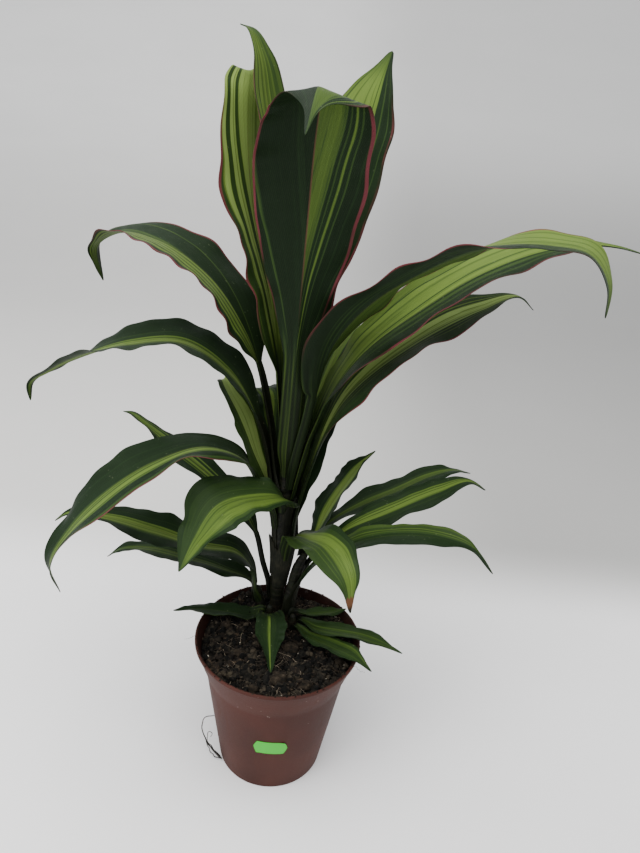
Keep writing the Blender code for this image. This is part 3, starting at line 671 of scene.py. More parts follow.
# leaves whose tips are drawn in otherwise
ownTips = {
    "crown_front": (0.79, 0.17, 0.78, 0.8),
    "crown_left": (0.86, 0.13, 0.5, 0.5),
    "crown_right": (0.84, 0.15, 0.6, 0.52),
    "crown_back": (0.72, 0.26, 0.5, 0.55),
    "left_3": (0.5, 0.42, 0.5, 0.6),
    "right_1": (0.86, 0.13, 0.4, 0.5),
    "front_right": (0.55, 0.4, 0.62, 0.7),
    "soil_front": (0.3, 0.5, 0.5, 0.8),
}
# blades that narrow part of the way along: where, over what share, and how much
waists = {"right_1": (0.43, 0.17, 0.58)}


def spreadOver(values, share):
    # the value at a share of the way along evenly spaced values, on a smooth curve through them
    values = np.asarray(values, float)
    place = min(0.99999, max(0.0, share)) * (len(values) - 1)
    i = int(place)
    before = values[max(0, i - 1)]
    after = values[min(len(values) - 1, i + 2)]
    a, b = values[i], values[i + 1]
    leanA = (b - before) / (2.0 if i else 1.0)
    leanB = (after - a) / (2.0 if i + 2 < len(values) else 1.0)
    return cubic(place - i, a, b, leanA, leanB)


def stemAt(stem, height):
    # middle point, direction and radius of a stem at a height
    line = np.asarray(stem, float)
    share = np.interp(height, line[:, 2], np.linspace(0.0, 1.0, len(line)))
    here = spreadOver(line, share)
    along = spreadOver(line, share + 0.02) - spreadOver(line, share - 0.02)
    return here[:3], unit(along[:3]), here[3]


def smoothRoute(knots, count):
    # evenly spaced points along a smooth curve through the knots, and the curve's length
    knots = np.asarray(knots, float)
    runs = np.diff(knots, axis=0)
    spans = np.linalg.norm(runs, axis=1)[:, None]
    runs /= spans
    before, after = np.vstack([spans[:1], spans]), np.vstack([spans, spans[-1:]])
    leans = np.vstack([runs[:1], runs]) * after + np.vstack([runs, runs[-1:]]) * before
    leans /= before + after
    line = []
    for i, span in enumerate(spans):
        for f in np.linspace(0.0, 1.0, 40, endpoint=i + 1 == len(spans)):
            line.append(cubic(f, knots[i], knots[i + 1], span * leans[i], span * leans[i + 1]))
    line = np.array(line)
    done = np.append(0.0, np.cumsum(np.linalg.norm(np.diff(line, axis=0), axis=1)))
    even = np.linspace(0.0, done[-1], count)
    return np.stack([np.interp(even, done, axis) for axis in line.T], axis=1), done[-1]


def sheathOf(leaf):
    least, share, most = leafShape["sheath"]
    return min(most, least + share * leaf.petiole)


def leafCourse(leaf):
    # the line on the middle of the upper face, as a function of distance; its length; and the
    # radius of the stem where the leaf clasps it
    axis, along, stemRadius = stemAt(stemRows[leaf.stem], leaf.height)
    out = around(1.0, math.radians(leaf.side))
    out = unit(out - along * (out @ along))
    flat = around(1.0, math.radians(leaf.heading))
    level = np.array([flat[1], -flat[0], 0.0])
    foot = axis + out * (stemRadius + leafShape["gap"])
    sheath = sheathOf(leaf)
    knots = [foot, foot + (along + leafShape["leanOut"] * out) * 0.6 * sheath]
    for reach, height, *aside in leaf.route:
        x, y, _ = axis + flat * reach - level * sum(aside)
        knots.append((x, y, height))
    count = leafShape["courseSteps"]
    points, length = smoothRoute(knots, count)
    tangents = np.gradient(points, axis=0)

    def at(distance):
        # the point, the direction across the leaf and the one that its upper face faces
        place = min(count - 1.0001, max(0.0, distance / length * (count - 1)))
        i, f = int(place), place - int(place)
        here = between(points[i], points[i + 1], f)
        tangent = unit(between(tangents[i], tangents[i + 1], f))
        across = unit(level - tangent * (level @ tangent))
        facing = between(-out, np.cross(across, tangent), smoothStep(distance / sheath))
        facing = unit(facing - tangent * (facing @ tangent))
        across = np.cross(tangent, facing)
        twist = math.radians(spreadOver(leaf.twists, distance / length))
        return (here, math.cos(twist) * across + math.sin(twist) * facing,
                math.cos(twist) * facing - math.sin(twist) * across)

    return at, length, stemRadius


def outline(share, belly, tip):
    # half width of a blade as a share of its widest
    power = math.log(0.5) / math.log(belly)
    start, span, depth, slimness = tip
    slim = 1 - depth * smoothStep((share - start) / span)
    return slim * math.sin(math.pi * share**power) ** slimness if 0.0 < share < 1.0 else 0.0


def leafMesh(name, leaf, base, seed):
    shape = leafShape
    at, length, stemRadius = leafCourse(leaf)
    petiole, bladeLength = leaf.petiole, length - leaf.petiole
    petioleRows, bladeRows, columns = shape["petioleRows"], shape["bladeRows"], shape["columns"]
    distances = [petiole * k / petioleRows for k in range(petioleRows)]
    distances += [petiole + bladeLength * (1 - (1 - k / bladeRows) ** shape["rowCrowding"])
                  for k in range(bladeRows + 1)]
    draw = random.Random(seed)
    ruffles = [waveRun(draw, 4, 3, 11, 0.3) for _ in range(2)]  # one for each edge
    clasp = (stemRadius + shape["gap"]) * shape["sheathWrap"]
    tip = ownTips.get(name, shape["tip"])
    waistAt, waistSpan, waistDepth = waists.get(name, (0.5, 1.0, 0.0))
    least, portion = shape["petioleHalf"]
    petioleHalf = base or portion * leaf.width + least
    grooveDepth, grooveHalf = shape["groove"]
    opensFrom, opensUntil = shape["opening"]
    opening = (1 - opensFrom) * petiole + opensUntil * bladeLength
    waveCount, ahead = shape["waves"]
    dentAlong, dentAcross = shape["dentScale"]
    upper, lower, where, grain = [], [], [], []
    for distance in distances:
        here, side, facing = at(distance)
        blade = max(0.0, (distance - petiole) / bladeLength)
        grown = smoothStep(distance / sheathOf(leaf))
        opened = smoothStep((distance - opensFrom * petiole) / opening)
        slim = between(clasp, petioleHalf, grown) * (1 - blade)
        half = math.hypot(slim, 0.5 * leaf.width * outline(blade, leaf.belly, tip))
        half *= 1 - waistDepth * math.exp(-((blade - waistAt) / waistSpan) ** 2)
        half += between(*shape["extraHalf"], smoothStep((blade - 0.9) * 10))
        wrap = between(shape["sheathWrap"], (1 - opened) * shape["petioleWrap"], grown)
        wrap = max(0.02, wrap)
        fold = math.radians(spreadOver(leaf.folds, blade)) * opened
        thick = between(shape["petioleThick"], shape["ribThick"], opened)
        thick = between(thick, shape["bladeThick"], blade**1.5)
        share = (distance - petiole) / (bladeLength if blade > 0 else petiole * 3)
        wander = [shape["edgeWander"] * opened * noise.noise(Vector((blade * 8, seed * 1.7, edge)))
                  for edge in (0.0, 9.0)]
        # broad waves, small ones at each edge and dents, which all end before the tip
        waving, rippling, denting = (opened * smoothStep((1 - blade) * fade)
                                     for fade in shape["fades"])
        waves = [waving * leaf.wave * math.sin(2.0 * math.pi * (waveCount * blade + shift))
                 for shift in (ahead, 0.0)]
        ripples = [rippling * shape["ruffle"] * leaf.width / 100 * ruffle(2 * math.pi * blade)
                   for ruffle in ruffles]
        soft = 1.2 * opened + 0.01
        for k in range(columns):
            u = 2.0 * k / (columns - 1) - 1.0
            u = 0.8 * u + 0.2 * u * abs(u)  # closer together near the midrib
            angle = wrap * u
            flat = half * math.sin(angle) / wrap
            x = flat * math.cos(fold) * (1 + wander[u > 0] * abs(u))
            z = half * (1 - math.cos(angle)) / wrap
            z += (math.hypot(flat, soft) - soft) * math.sin(fold)
            z += waves[u >= 0] * u * u + ripples[u > 0] * abs(u) ** 3
            dent = noise.noise(Vector((distance * dentAlong, u * dentAcross, seed * 3.1)))
            z += denting * shape["crumple"] * dent * u * u
            z -= grooveDepth * opened * math.exp(-(flat / grooveHalf) ** 2) * (1 - blade)
            lean = angle + fold * max(-1.0, min(1.0, flat / soft))
            edge = between(shape["edgeThick"], shape["bladeThick"], 1 - u**4)
            rib = between(1 - u * u, math.exp(-(flat / shape["ribWidth"]) ** 2), opened)
            deep = edge + max(0.0, thick - edge) * rib
            upper.append(here + side * x + facing * z)
            lower.append(upper[-1] + deep * (side * math.sin(lean) - facing * math.cos(lean)))
            where.append((0.5 + 0.5 * u, share))
            grain.append((flat, distance))
    sheet = len(upper)
    faces = sheetFaces(len(distances), columns)
    mesh = meshOf("blade_" + name, lower + upper, faces, 50)
    # each point's millimetres across and along the leaf and which face it is on, as an
    # attribute, and its place across and along the blade, as a UV map
    pointData = np.column_stack([np.tile(grain, (2, 1)), np.repeat([0.0, 1.0], sheet)])
    attribute = mesh.attributes.new("grain", "FLOAT_VECTOR", "POINT")
    attribute.data.foreach_set("vector", pointData.astype(np.float32).ravel())
    corners = np.empty(len(mesh.loops), np.int32)
    mesh.loops.foreach_get("vertex_index", corners)
    layer = mesh.uv_layers.new(name="blade")
    layer.data.foreach_set("uv", np.array(where, np.float32)[corners % sheet].ravel())
    return mesh


leafColors = {
    # tone 0 is dark green, 1 yellow-green, and above it is paler still, painted light for leaves in
    # shade
    "stops": (
        (0.0, (0.0040, 0.0100, 0.0036)), (0.2, (0.0078, 0.0195, 0.0062)),
        (0.3, (0.0145, 0.031, 0.0078)), (0.5, (0.025, 0.049, 0.0105)),
        (0.62, (0.041, 0.072, 0.0125)), (0.82, (0.064, 0.106, 0.0165)),
        (1.0, (0.104, 0.160, 0.027)), (1.3, (0.122, 0.180, 0.038)), (1.6, (0.26, 0.36, 0.095)),
    ),
    "pink": (0.13, 0.026, 0.034),
    # the petiole's own dark colour, also used to paint shade over the lower parts of the leaves
    "petiole": (0.006, 0.007, 0.0035),
    "sheen": (0.034, 0.055, 0.026),
    "vein": (0.036, 0.062, 0.012),
    "fleck": (0.13, 0.15, 0.08),
    "dry": (0.105, 0.045, 0.02),
}


def rampPlace(across):
    # a place across a leaf's half as one on a ramp, which has room beyond midrib and margin
    return (across + 0.5) / 2


def stripeStops(stripes):
    # a stripe's tone holds from its start to the next one's, with a short change between
    tones, change = stripes[::2], 0.006
    stops = [(0.0, float(tones[0]))]
    for start, before, tone in zip(stripes[1::2], tones, tones[1:]):
        at = rampPlace(start)
        stops += [(at - change, float(before)), (at + change, float(tone))]
    return stops


def leafMaterial(name, look, seed, brownTip=False):
    g = Graph("leaf_" + name)
    paint = leafColors
    across, along, _ = g.parts(g.node("ShaderNodeUVMap", settings={"uv_map": "blade"}))
    across = across * 2 - 1
    sideways, outward, upper = g.parts(
        g.node("ShaderNodeAttribute", settings={"attribute_name": "grain"}, out=1))
    onRight = g.step(across, -0.01, 0.01)
    left, right = look.slant
    run = g.calc("MAXIMUM", along, -0.02) - 0.5
    slid = abs(across) - run * (onRight * (right - left) + left)

    def streak(wide, long, shift):
        # noise drawn out along the stripes
        side = slid + onRight * 7.3
        at = g.node("ShaderNodeCombineXYZ", side * wide, along * long, seed + shift)
        return g.grain(at, 1.0)

    fine = streak(42.0, 2.2, 4.0)
    placed = rampPlace(slid + (streak(2.2, 2.6, 0.0) - 0.5) * 0.09)
    toneLeft, toneRight = (g.ramp(placed, stripeStops(half)) for half in (look.left, look.right))
    light = toneLeft + (toneRight - toneLeft) * onRight
    light = light + (streak(11.0, 1.5, 2.0) - 0.5) * 0.18 + (fine - 0.5) * 0.26
    light = light - g.step(streak(17.0, 4.5, 10.0), 0.6, 0.65) * light * 0.2
    # painted light: lift makes the whole leaf paler where it lies in shade
    light = (light + look.lift) * g.step(along, 1.12, 0.88)
    wideFoot = look.base > leafShape["wideFoot"]
    if wideFoot:
        # the foot has its own lines, which run straight up it
        at = g.node("ShaderNodeCombineXYZ", across * 4.5, along * 1.2, seed + 14.0)
        foot = (g.grain(at, 1.0, 3.0) - 0.43) * 4.2
        light = light + (foot - light) * g.step(along, 0.16, -0.04)
    light = light * (look.shade + (1 - look.shade) * upper)
    top = paint["stops"][-1][0]
    color = g.ramp(light / top, [(tone / top, tint) for tone, tint in paint["stops"]])
    # painted shade: the petiole and the lowest part of the blade darken toward the petiole's dark
    # colour, partly its own colour, partly the shade of the crown above
    color = g.mix(g.step(along, 0.3, -0.2) * 0.64, color, paint["petiole"])
    # fine veins that leave the midrib at a slant
    vein = g.calc("SINE", (outward - abs(sideways) * 3.4) * 1.7)
    color = g.mix(g.step(vein, 0.3, 1.0) * 0.12, color, paint["vein"])
    # thin pink margins and rib
    pinkLeft, pinkRight = (1.0 if pink else 0.0 for pink in look.pink)
    wideLeft, wideRight = look.pink
    margin = g.step(across, 1.0 - 1.6 * wideRight, 1.0 - 1.1 * wideRight) * pinkRight
    margin = margin + g.step(across, 1.6 * wideLeft - 1.0, 1.1 * wideLeft - 1.0) * pinkLeft
    margin = margin * g.step(streak(2.0, 5.0, 8.0), 0.3, 0.5)
    margin = margin * g.step(along, 0.9, 0.68) * g.step(along, 0.08, 0.3)
    rib = g.step(abs(sideways), 0.6, 0.3) * g.step(along, 0.9, 0.5) * g.step(along, 0.1, 0.4)
    color = g.mix(margin * 0.85 + rib * look.rib, color, paint["pink"])
    color = g.mix(rib * (0.4 * (1 - look.rib)), color, paint["vein"])
    if not wideFoot:
        color = g.mix(g.step(along, 0.03, -0.05), color, paint["petiole"])
    # painted sheen: pale grey-green patches on the upper face, and small water marks
    sheenPatches = g.grain(g.place(), 0.03, 3.0) * upper
    color = g.mix(g.step(sheenPatches, 0.45, 0.8) * 0.12, color, paint["sheen"])
    fleck = g.step(g.grain(g.place(), 0.5, 1.0), 0.72, 0.78) * upper
    color = g.mix(fleck * 0.3, color, paint["fleck"])
    if brownTip:
        torn = along + (streak(6.0, 2.0, 12.0) - 0.5) * 0.06
        color = g.mix(g.step(torn, 0.89, 0.905), color, paint["dry"])
        color = g.mix(g.step(torn, 0.94, 0.985), color, paint["petiole"])
    rough = 0.56 - upper * 0.08 + (g.grain(g.place(), 0.15) - 0.5) * 0.2
    return g.finish(Base_Color=color, Roughness=rough, Specular_IOR_Level=0.08,
                    Normal=g.bump(vein * 0.5 + fine, 0.12, 0.5))


def growLeaves():
    for place, (name, leaf) in enumerate(leaves.items()):
        look = looks[name]
        mesh = leafMesh(name, leaf, look.base, 100 + place)
        material = leafMaterial(name, look, 3 + 2 * place, name == "front_right")
        dress(makeObject("blade_" + name, mesh, material), "leaf", "leaf_" + name)
    print("leaves grown:", len(leaves))


growLeaves()


# Canes and shoots

caneShape = {
    "depth": 25.0, "sides": 40, "step": 0.8, "ringEvery": 5.5, "ringDeep": 0.35, "capRings": 6,
}
caneColors = {
    "dark": (0.0042, 0.0046, 0.0026),
    "green": (0.010, 0.0125, 0.005),
    "scar": (0.024, 0.02, 0.012),
    "foot": (0.028, 0.02, 0.012),
    "fibre": (0.026, 0.028, 0.014),
}


def caneMesh(name, stem):
    shape = caneShape
    low, high, sides = stem[0][2], stem[-1][2], shape["sides"]
    foot, _, radius = stemAt(stem, low)
    rings = [(foot - (0.0, 0.0, shape["depth"]), (0.0, 0.0, 1.0), radius)]
    count = max(6, round((high - low) / shape["step"]))
    for i in range(count + 1):
        height = low + (high - low) * i / count
        middle, along, radius = stemAt(stem, height)
        radii = []
        for k in range(sides):
            turn = 2 * math.pi * k / sides
            # scars run round the cane a little askew, and long shallow ridges up it
            scar = height / shape["ringEvery"] + 0.22 * math.sin(turn + height * 0.4)
            dip = math.exp(-(((scar + 0.5) % 1.0 - 0.5) / 0.09) ** 2)
            swell = noise.noise(Vector(around(1.6, turn, height * 0.07)))
            radii.append(radius * (1 + 0.05 * swell) - shape["ringDeep"] * dip)
        rings.append((middle, along, radii))
    for k in range(1, shape["capRings"] + 1):
        turn = 0.5 * math.pi * k / (shape["capRings"] + 0.5)
        rings.append((middle + along * radius * math.sin(turn), along, radius * math.cos(turn)))
    return meshOf(name, *tube(rings, sides))


def caneMaterial():
    g = Graph("caneSkin")
    paint = caneColors
    where = g.place()
    height = g.parts(where)[2]
    blotch = g.grain(where, 0.12, 4.0)
    fibre = g.grain(g.place((1, 1, 0.12)), 1.6, 3.0)
    ring = g.calc("PINGPONG", height / caneShape["ringEvery"] + blotch * 0.5, 0.5)
    color = g.mix(g.step(blotch, 0.38, 0.66), paint["dark"], paint["green"])
    color = g.mix(g.step(ring, 0.1, 0.02) * 0.6, color, paint["scar"])
    color = g.mix(g.step(height, 116.0, 101.0) * g.step(fibre, 0.35, 0.6), color, paint["foot"])
    color = g.mix(g.step(fibre, 0.6, 0.75) * 0.3, color, paint["fibre"])
    return g.finish(Base_Color=color, Roughness=0.42 + fibre * 0.3, Specular_IOR_Level=0.18,
                    Normal=g.bump(fibre + blotch, 0.5, 0.6))


def raiseCanes():
    skin = caneMaterial()
    for name, stem in stemRows.items():
        bark = "bark_" + name
        dress(makeObject(bark, caneMesh(bark, stem), skin), "stem", name)
    print("canes raised:", len(stemRows))


raiseCanes()


# Old leaf feet that still wrap the canes, torn at the top

sheathRows = (
    # piece, stem, lowest and highest point, middle and half of its wrap in degrees,
    # flare at the top, seed
    ("torn_foot_right", "main_cane", 128, 174, -50, 80, 4.6, 5),
    ("torn_foot_left", "main_cane", 138, 173, 200, 60, 2.2, 6),
    ("torn_foot_stub", "main_cane", 164, 199, 205, 36, 5.0, 7),
    ("torn_foot_upper", "main_cane", 174, 207, -35, 60, 4.5, 8),
    ("torn_foot_right_cane", "right_cane", 112, 140, -20, 80, 1.4, 10),
    ("torn_foot_shoot", "left_shoot", 104, 116, 270, 80, 0.8, 11),
)
sheathShape = {"rows": 26, "columns": 33, "off": 0.35, "thick": 0.7, "edgeThick": 0.12}
sheathColors = ((0.35, (0.0035, 0.0036, 0.0022)), (0.55, (0.0085, 0.0095, 0.0052)),
                (0.75, (0.026, 0.024, 0.014)))


def sheathMesh(name, stem, low, high, middleTurn, wrap, flare, seed):
    shape = sheathShape
    rows, columns = shape["rows"], shape["columns"]
    torn = waveRun(random.Random(seed), 6, 1, 9, 0.4)
    points = []
    for side in (0, 1):
        for j in range(rows):
            for i in range(columns):
                u = 2.0 * i / (columns - 1) - 1.0
                reach = 1 - 0.06 * abs(torn(2 * u)) - 0.35 * abs(u) ** 3
                share = j / (rows - 1) * reach
                middle, _, radius = stemAt(stem, between(low, high, share))
                turn = math.radians(middleTurn + wrap * u * (1 - 0.15 * share))
                away = flare * share**2.2 + 0.35 * math.sin(5 * u + 3 * share + seed) * share
                thick = shape["thick"] * (1 - 0.6 * share) * (1 - u * u) ** 0.5
                out = radius + shape["off"] + max(0.0, away) + (thick + shape["edgeThick"]) * side
                points.append(middle + around(out, turn))
    return meshOf(name, points, sheetFaces(rows, columns), 60)


def wrapCanes():
    g = Graph("drySheath")
    fibre = g.grain(g.place((1, 1, 0.08)), 1.9, 3.0)
    blotch = g.grain(g.place(), 0.16, 3.0)
    color = g.ramp(fibre * 0.6 + blotch * 0.5, sheathColors)
    g.finish(Base_Color=color, Roughness=0.6 + fibre * 0.2, Specular_IOR_Level=0.18,
             Normal=g.bump(fibre + blotch * 0.5, 0.4, 0.7))
    for name, stem, *shape in sheathRows:
        dress(makeObject(name, sheathMesh(name, stemRows[stem], *shape), g.material), "stem")
    print("old leaf feet wrapped:", len(sheathRows))


wrapCanes()


# Pot

pot = {
    "height": 110.0, "rim": 60.0, "rimDepth": 18.0, "rimFoot": 54.8, "step": 52.6, "foot": 39.0,
    "wall": 1.3, "lip": 2.4, "round": 2.2, "sides": 160,
    "holes": 8, "holeRadius": 4.0, "holeRing": 28.0, "holeSides": 32,
    "lipRing": (57.4, 60.2),  # where spilled crumbs lie
}
pot["rimZ"] = pot["height"] - pot["rimDepth"]
pot["rimSlope"] = (pot["rim"] - pot["rimFoot"]) / pot["rimDepth"]
potColors = {
    "clay": (0.055, 0.0168, 0.0117),
    "deep": (0.039, 0.0132, 0.0097),
    "dust": (0.078, 0.031, 0.023),
    "soil": (0.03, 0.02, 0.014),
    "stain": (0.0125, 0.0062, 0.0045),
    "lime": (0.25, 0.2, 0.18),
}


def wallRadius(z):
    return between(pot["foot"], pot["step"], z / pot["rimZ"])


def roundedLine(corners, radius, steps=5):
    # the corners of an outline, each turned into a short arc
    line = [corners[0]]
    for before, here, after in zip(corners, corners[1:], corners[2:]):
        here = np.array(here, float)
        toBefore, toAfter = np.array(before) - here, np.array(after) - here
        cut = min(radius, 0.45 * np.linalg.norm(toBefore), 0.45 * np.linalg.norm(toAfter))
        a, b = here + unit(toBefore) * cut, here + unit(toAfter) * cut
        for t in np.linspace(0.0, 1.0, steps + 1):
            line.append(tuple((1 - t) ** 2 * a + 2 * t * (1 - t) * here + t * t * b))
    return line + [corners[-1]]


def turnedMesh(name, line, sides, lift=None, sharp=None):
    # a closed shell turned about Z from (radius, z) points that start and end on the axis
    points, counts = [], []
    for radius, z in line:
        counts.append(sides if radius > 0 else 1)
        for k in range(counts[-1]):
            x, y, _ = around(radius, 2 * math.pi * k / sides)
            points.append((x, y, z + (lift(x, y, z) if lift else 0.0)))
    return meshOf(name, points, ringFaces(counts), sharp)


def potMesh():
    p = pot
    wall, foot, rim, rimZ, top = (p[key] for key in ("wall", "foot", "rim", "rimZ", "height"))
    lip, inside = top - p["lip"], rimZ + wall
    # from the middle of the base out, up the wall and the rim band, and down the inside
    corners = [
        (0.0, 1.0), (34.0, 1.0), (35.2, 0.0), (foot, 0.0), (wallRadius(2.0), 2.0),
        (wallRadius(rimZ - 8.0), rimZ - 8.0), (p["rimFoot"], rimZ + 2.0), (rim - 0.9, lip - 0.4),
        (rim, lip), (rim, top), (rim - wall - 0.5, top), (p["rimFoot"] - wall, inside + 0.5),
        (p["step"] - wall, inside), (foot - wall, wall + 1.0), (foot - wall - 1.0, wall + 0.6),
        (0.0, wall + 0.6),
    ]
    line = roundedLine(corners, p["round"])
    shell = makeObject("pot_shell", turnedMesh("pot_shell", line, p["sides"], sharp=45))
    cutters = []
    for k in range(p["holes"]):
        turn, radius = 2 * math.pi * (k + 0.5) / p["holes"], p["holeRadius"] * mm
        middle = Vector((math.cos(turn), math.sin(turn), 0)) * p["holeRing"] * mm
        drill = bmesh.new()
        bmesh.ops.create_cone(drill, cap_ends=True, segments=p["holeSides"], radius1=radius,
                              radius2=radius, depth=10 * mm, matrix=Matrix.Translation(middle))
        mesh = bpy.data.meshes.new("drill")
        drill.to_mesh(mesh)
        drill.free()
        cutters.append(makeObject("drill", mesh))
        bite = shell.modifiers.new("hole", "BOOLEAN")
        bite.operation = "DIFFERENCE"
        bite.solver = "EXACT"
        bite.object = cutters[-1]
    mesh = evaluated(shell)
    for obj in [shell] + cutters:
        bpy.data.objects.remove(obj)
    return mesh


def potMaterial():
    g = Graph("clayPlastic")
    paint = potColors
    where = g.place()
    x, y, height = g.parts(where)
    cloud = g.grain(where, 0.022, 3.0)
    speckle = g.grain(where, 0.9, 3.0)
    smear = g.step(g.grain(g.place((1, 1, 0.2)), 0.1, 4.0, 0.65, 0.4), 0.5, 0.8)
    color = g.mix(g.step(cloud, 0.3, 0.7), paint["deep"], paint["clay"])
    color = g.mix(smear * 0.5, color, paint["dust"])
    low = g.step(height, 60.0, 10.0) * g.step(g.grain(where, 0.03), 0.3, 0.7)
    color = g.mix(low * 0.35, color, paint["dust"])
    # soil splashed on the rim, lime specks on the wall, scuffs
    splash = g.grain(where, 0.35, 4.0)
    nearRim = g.step(height, 100.0, 110.0)
    color = g.mix(g.step(splash, 0.6, 0.68) * nearRim * 0.7, color, paint["soil"])
    lime = g.step(g.grain(where, 0.16, 5.0, 0.7), 0.665, 0.7) * g.step(height, 60.0, 84.0)
    color = g.mix(lime * 0.6, color, paint["lime"])
    scuff = g.step(g.grain(g.place((1, 1, 6)), 0.25, 3.0), 0.66, 0.72)
    color = g.mix(scuff * 0.35, color, paint["dust"])
    # the inside of the rim is stained by the soil
    outer = (height - pot["rimZ"]) * pot["rimSlope"] + pot["rimFoot"]
    inside = g.step((x * x + y * y) ** 0.5 - outer, -0.9, -1.4) * g.step(height, 92.0, 96.0)
    color = g.mix(inside * (splash * 0.7 + 0.35), color, paint["stain"])
    rough = 0.55 + (speckle - 0.5) * 0.2 + smear * 0.12
    return g.finish(Base_Color=color, Roughness=rough, Specular_IOR_Level=0.1,
                    Normal=g.bump(speckle, 0.12, 0.4))


def makePot():
    dress(makeObject("nursery_pot", potMesh(), potMaterial()), "pot", "pot")
    print("pot turned")


makePot()


# Soil

soil = {
    "level": 100.4, "bump": 1.6, "rings": 90, "sides": 180,
    # small lumps of the surface: height, size for each millimetre, then roughness, step and layers
    "lump": 1.1, "lumpSize": 0.11, "lumpDetail": (0.8, 2.1, 5),
    # from the wall, from the rim band and how far above the band's foot that starts; bare is how
    # wide the strip by the wall is where no crumbs lie
    "gap": 0.3, "bandGap": 0.6, "bandStart": 1.6, "bare": 1.4,
    # round clods: x, y, height of the middle above the soil, radius
    "lumps": ((4.2, -36.5, 2.6, 6.2), (10, -4.5, 1.8, 5.6), (-26, -12.5, 1.2, 4.2),
              (-40, 12, 1.0, 4.4), (38, 7.5, 1.0, 4.6), (23, -38, 1.0, 4.0),
              (-12, -45, 1.0, 3.8), (46, -12, 1.0, 3.8)),
    # heaps of soil: x, y, spread and height
    "mounds": ((-28, 44, 13, 9.0), (28, 42, 15, 5.0), (-47, 12, 8, 2.5), (6, -46, 9, 1.6),
               (46, 5, 10, 2.0)),
}
# the bed is painted near black: the soil's own dark colour and painted shade in the gaps between
# the crumbs
peatAndGapShade, brown = (0.0026, 0.0023, 0.0018), (0.0098, 0.0083, 0.006)
soilPaints = {
    # roughness, how much lighter or darker each clod is as a whole, tones from hollow to top
    "peatAndGapShade": (0.95, 0.0, ((0.3, (0.0015, 0.0013, 0.001)), (0.62, peatAndGapShade), (0.8, brown))),
    "crumbs": (0.95, 0.0, ((0.3, peatAndGapShade), (0.55, brown), (0.72, (0.03, 0.022, 0.014)),
                           (0.84, (0.08, 0.058, 0.035)))),
    "clods": (0.95, 0.75, ((0.25, (0.0022, 0.0021, 0.0018)), (0.5, (0.0066, 0.0058, 0.0045)),
                           (0.7, (0.018, 0.0145, 0.010)), (0.9, (0.045, 0.036, 0.024)))),
    "bigClods": (0.95, 0.0, ((0.3, (0.0055, 0.0045, 0.0032)), (0.55, (0.0185, 0.0135, 0.0085)),
                             (0.8, (0.05, 0.038, 0.026)))),
    "barkChips": (0.85, 0.0, ((0.3, (0.005, 0.004, 0.003)), (0.55, (0.014, 0.01, 0.007)),
                              (0.75, (0.075, 0.052, 0.03)))),
    "perliteGrains": (0.9, 0.0, ((0.3, (0.28, 0.25, 0.2)), (0.7, (0.5, 0.45, 0.37)))),
}
scattered = (
    # piece, paint, how many, smallest and largest radius, lift, form, seed
    ("soil_crumbs", "crumbs", 5200, (0.35, 1.15), 0.25, "round", 15),
    ("soil_clods", "clods", 760, (1.2, 3.4), 0.9, "round", 18),
    ("bark_chips", "barkChips", 320, (1.8, 4.8), 0.9, "flat", 16),
    ("perlite_grains", "perliteGrains", 64, (0.3, 0.85), 1.1, "round", 17),
)
spilled = ("rim_crumbs", "crumbs", 130, (0.3, 0.8), 0.1, "round", 15)
lumpForms = {
    # the most that a lump turns about each axis, and the least and most that it is stretched
    "round": ((6.3, 6.3, 6.3), (0.7, 0.7, 0.6), (1.2, 1.2, 1.1)),
    "flat": ((0.5, 0.5, 6.3), (0.7, 0.45, 0.18), (1.3, 0.8, 0.3)),
}
dents = {"reach": 2.2, "scale": 0.62}
fibreRows = (
    # piece, colour, how many, seed, radius, shortest and longest
    ("coir_fibres", (0.1, 0.075, 0.05), 300, 21, 0.11, (6, 22)),
    ("pale_rootlets", (0.33, 0.26, 0.18), 60, 22, 0.15, (10, 30)),
)


def soilLift(x, y):
    waves = math.sin(0.16 * x + 0.9) * math.cos(0.13 * y) + 0.5 * math.sin(0.37 * x - 0.29 * y)
    spot = Vector((x * soil["lumpSize"], y * soil["lumpSize"], 3.0))
    lump = noise.fractal(spot, *soil["lumpDetail"])
    mound = sum(height * math.exp(-((x - left) ** 2 + (y - back) ** 2) / (2 * wide * wide))
                for left, back, wide, height in soil["mounds"])
    # the waves reach 1.5 where they add up
    return soil["bump"] * waves / 1.5 + soil["lump"] * lump + mound


def soilTop(x, y):
    return soil["level"] + soilLift(x, y)


def soilEdge(z):
    # how far out the soil reaches inside the pot's wall at a height
    if z > pot["rimZ"] + soil["bandStart"]:
        band = pot["rimFoot"] + pot["rimSlope"] * (z - pot["rimZ"])
        return band - pot["wall"] - soil["bandGap"]
    return wallRadius(z) - pot["wall"] - soil["gap"]


soil["reach"] = soilEdge(100.0)


def soilMesh():
    low, level, rings = pot["wall"] + 1.0, soil["level"], soil["rings"]
    line = [(0.0, low), (soilEdge(low) - 1.4, low), (soilEdge(90.0), 90.0), (soilEdge(90.5), 94.0),
            (soilEdge(95.0) - 0.6, 95.0), (soilEdge(99.0), 99.0)]
    for k in range(1, rings):
        share = math.sin(0.5 * math.pi * (1 - k / rings)) ** 0.8
        line.append((soilEdge(99.5) * share, level))
    line.append((0.0, level))
    return turnedMesh("soil_bed", line, soil["sides"],
                      lambda x, y, z: soilLift(x, y) if z > level - 0.1 else 0.0)


def soilMaterial(name):
    rough, differ, tones = soilPaints[name]
    g = Graph(name)
    where = g.place()
    lump, dust = g.grain(where, 0.35, 4.0), g.grain(where, 2.2)
    tone = lump + (dust - 0.5) * 0.3
    if differ:
        cell = g.node("ShaderNodeTexVoronoi", Vector=where, Scale=0.2, out=1)
        tone = tone + (g.parts(cell)[0] - 0.5) * differ
    return g.finish(Base_Color=g.ramp(tone, tones), Roughness=rough, Specular_IOR_Level=0.15,
                    Normal=g.bump(lump + dust * 0.5, 0.8, 0.9))


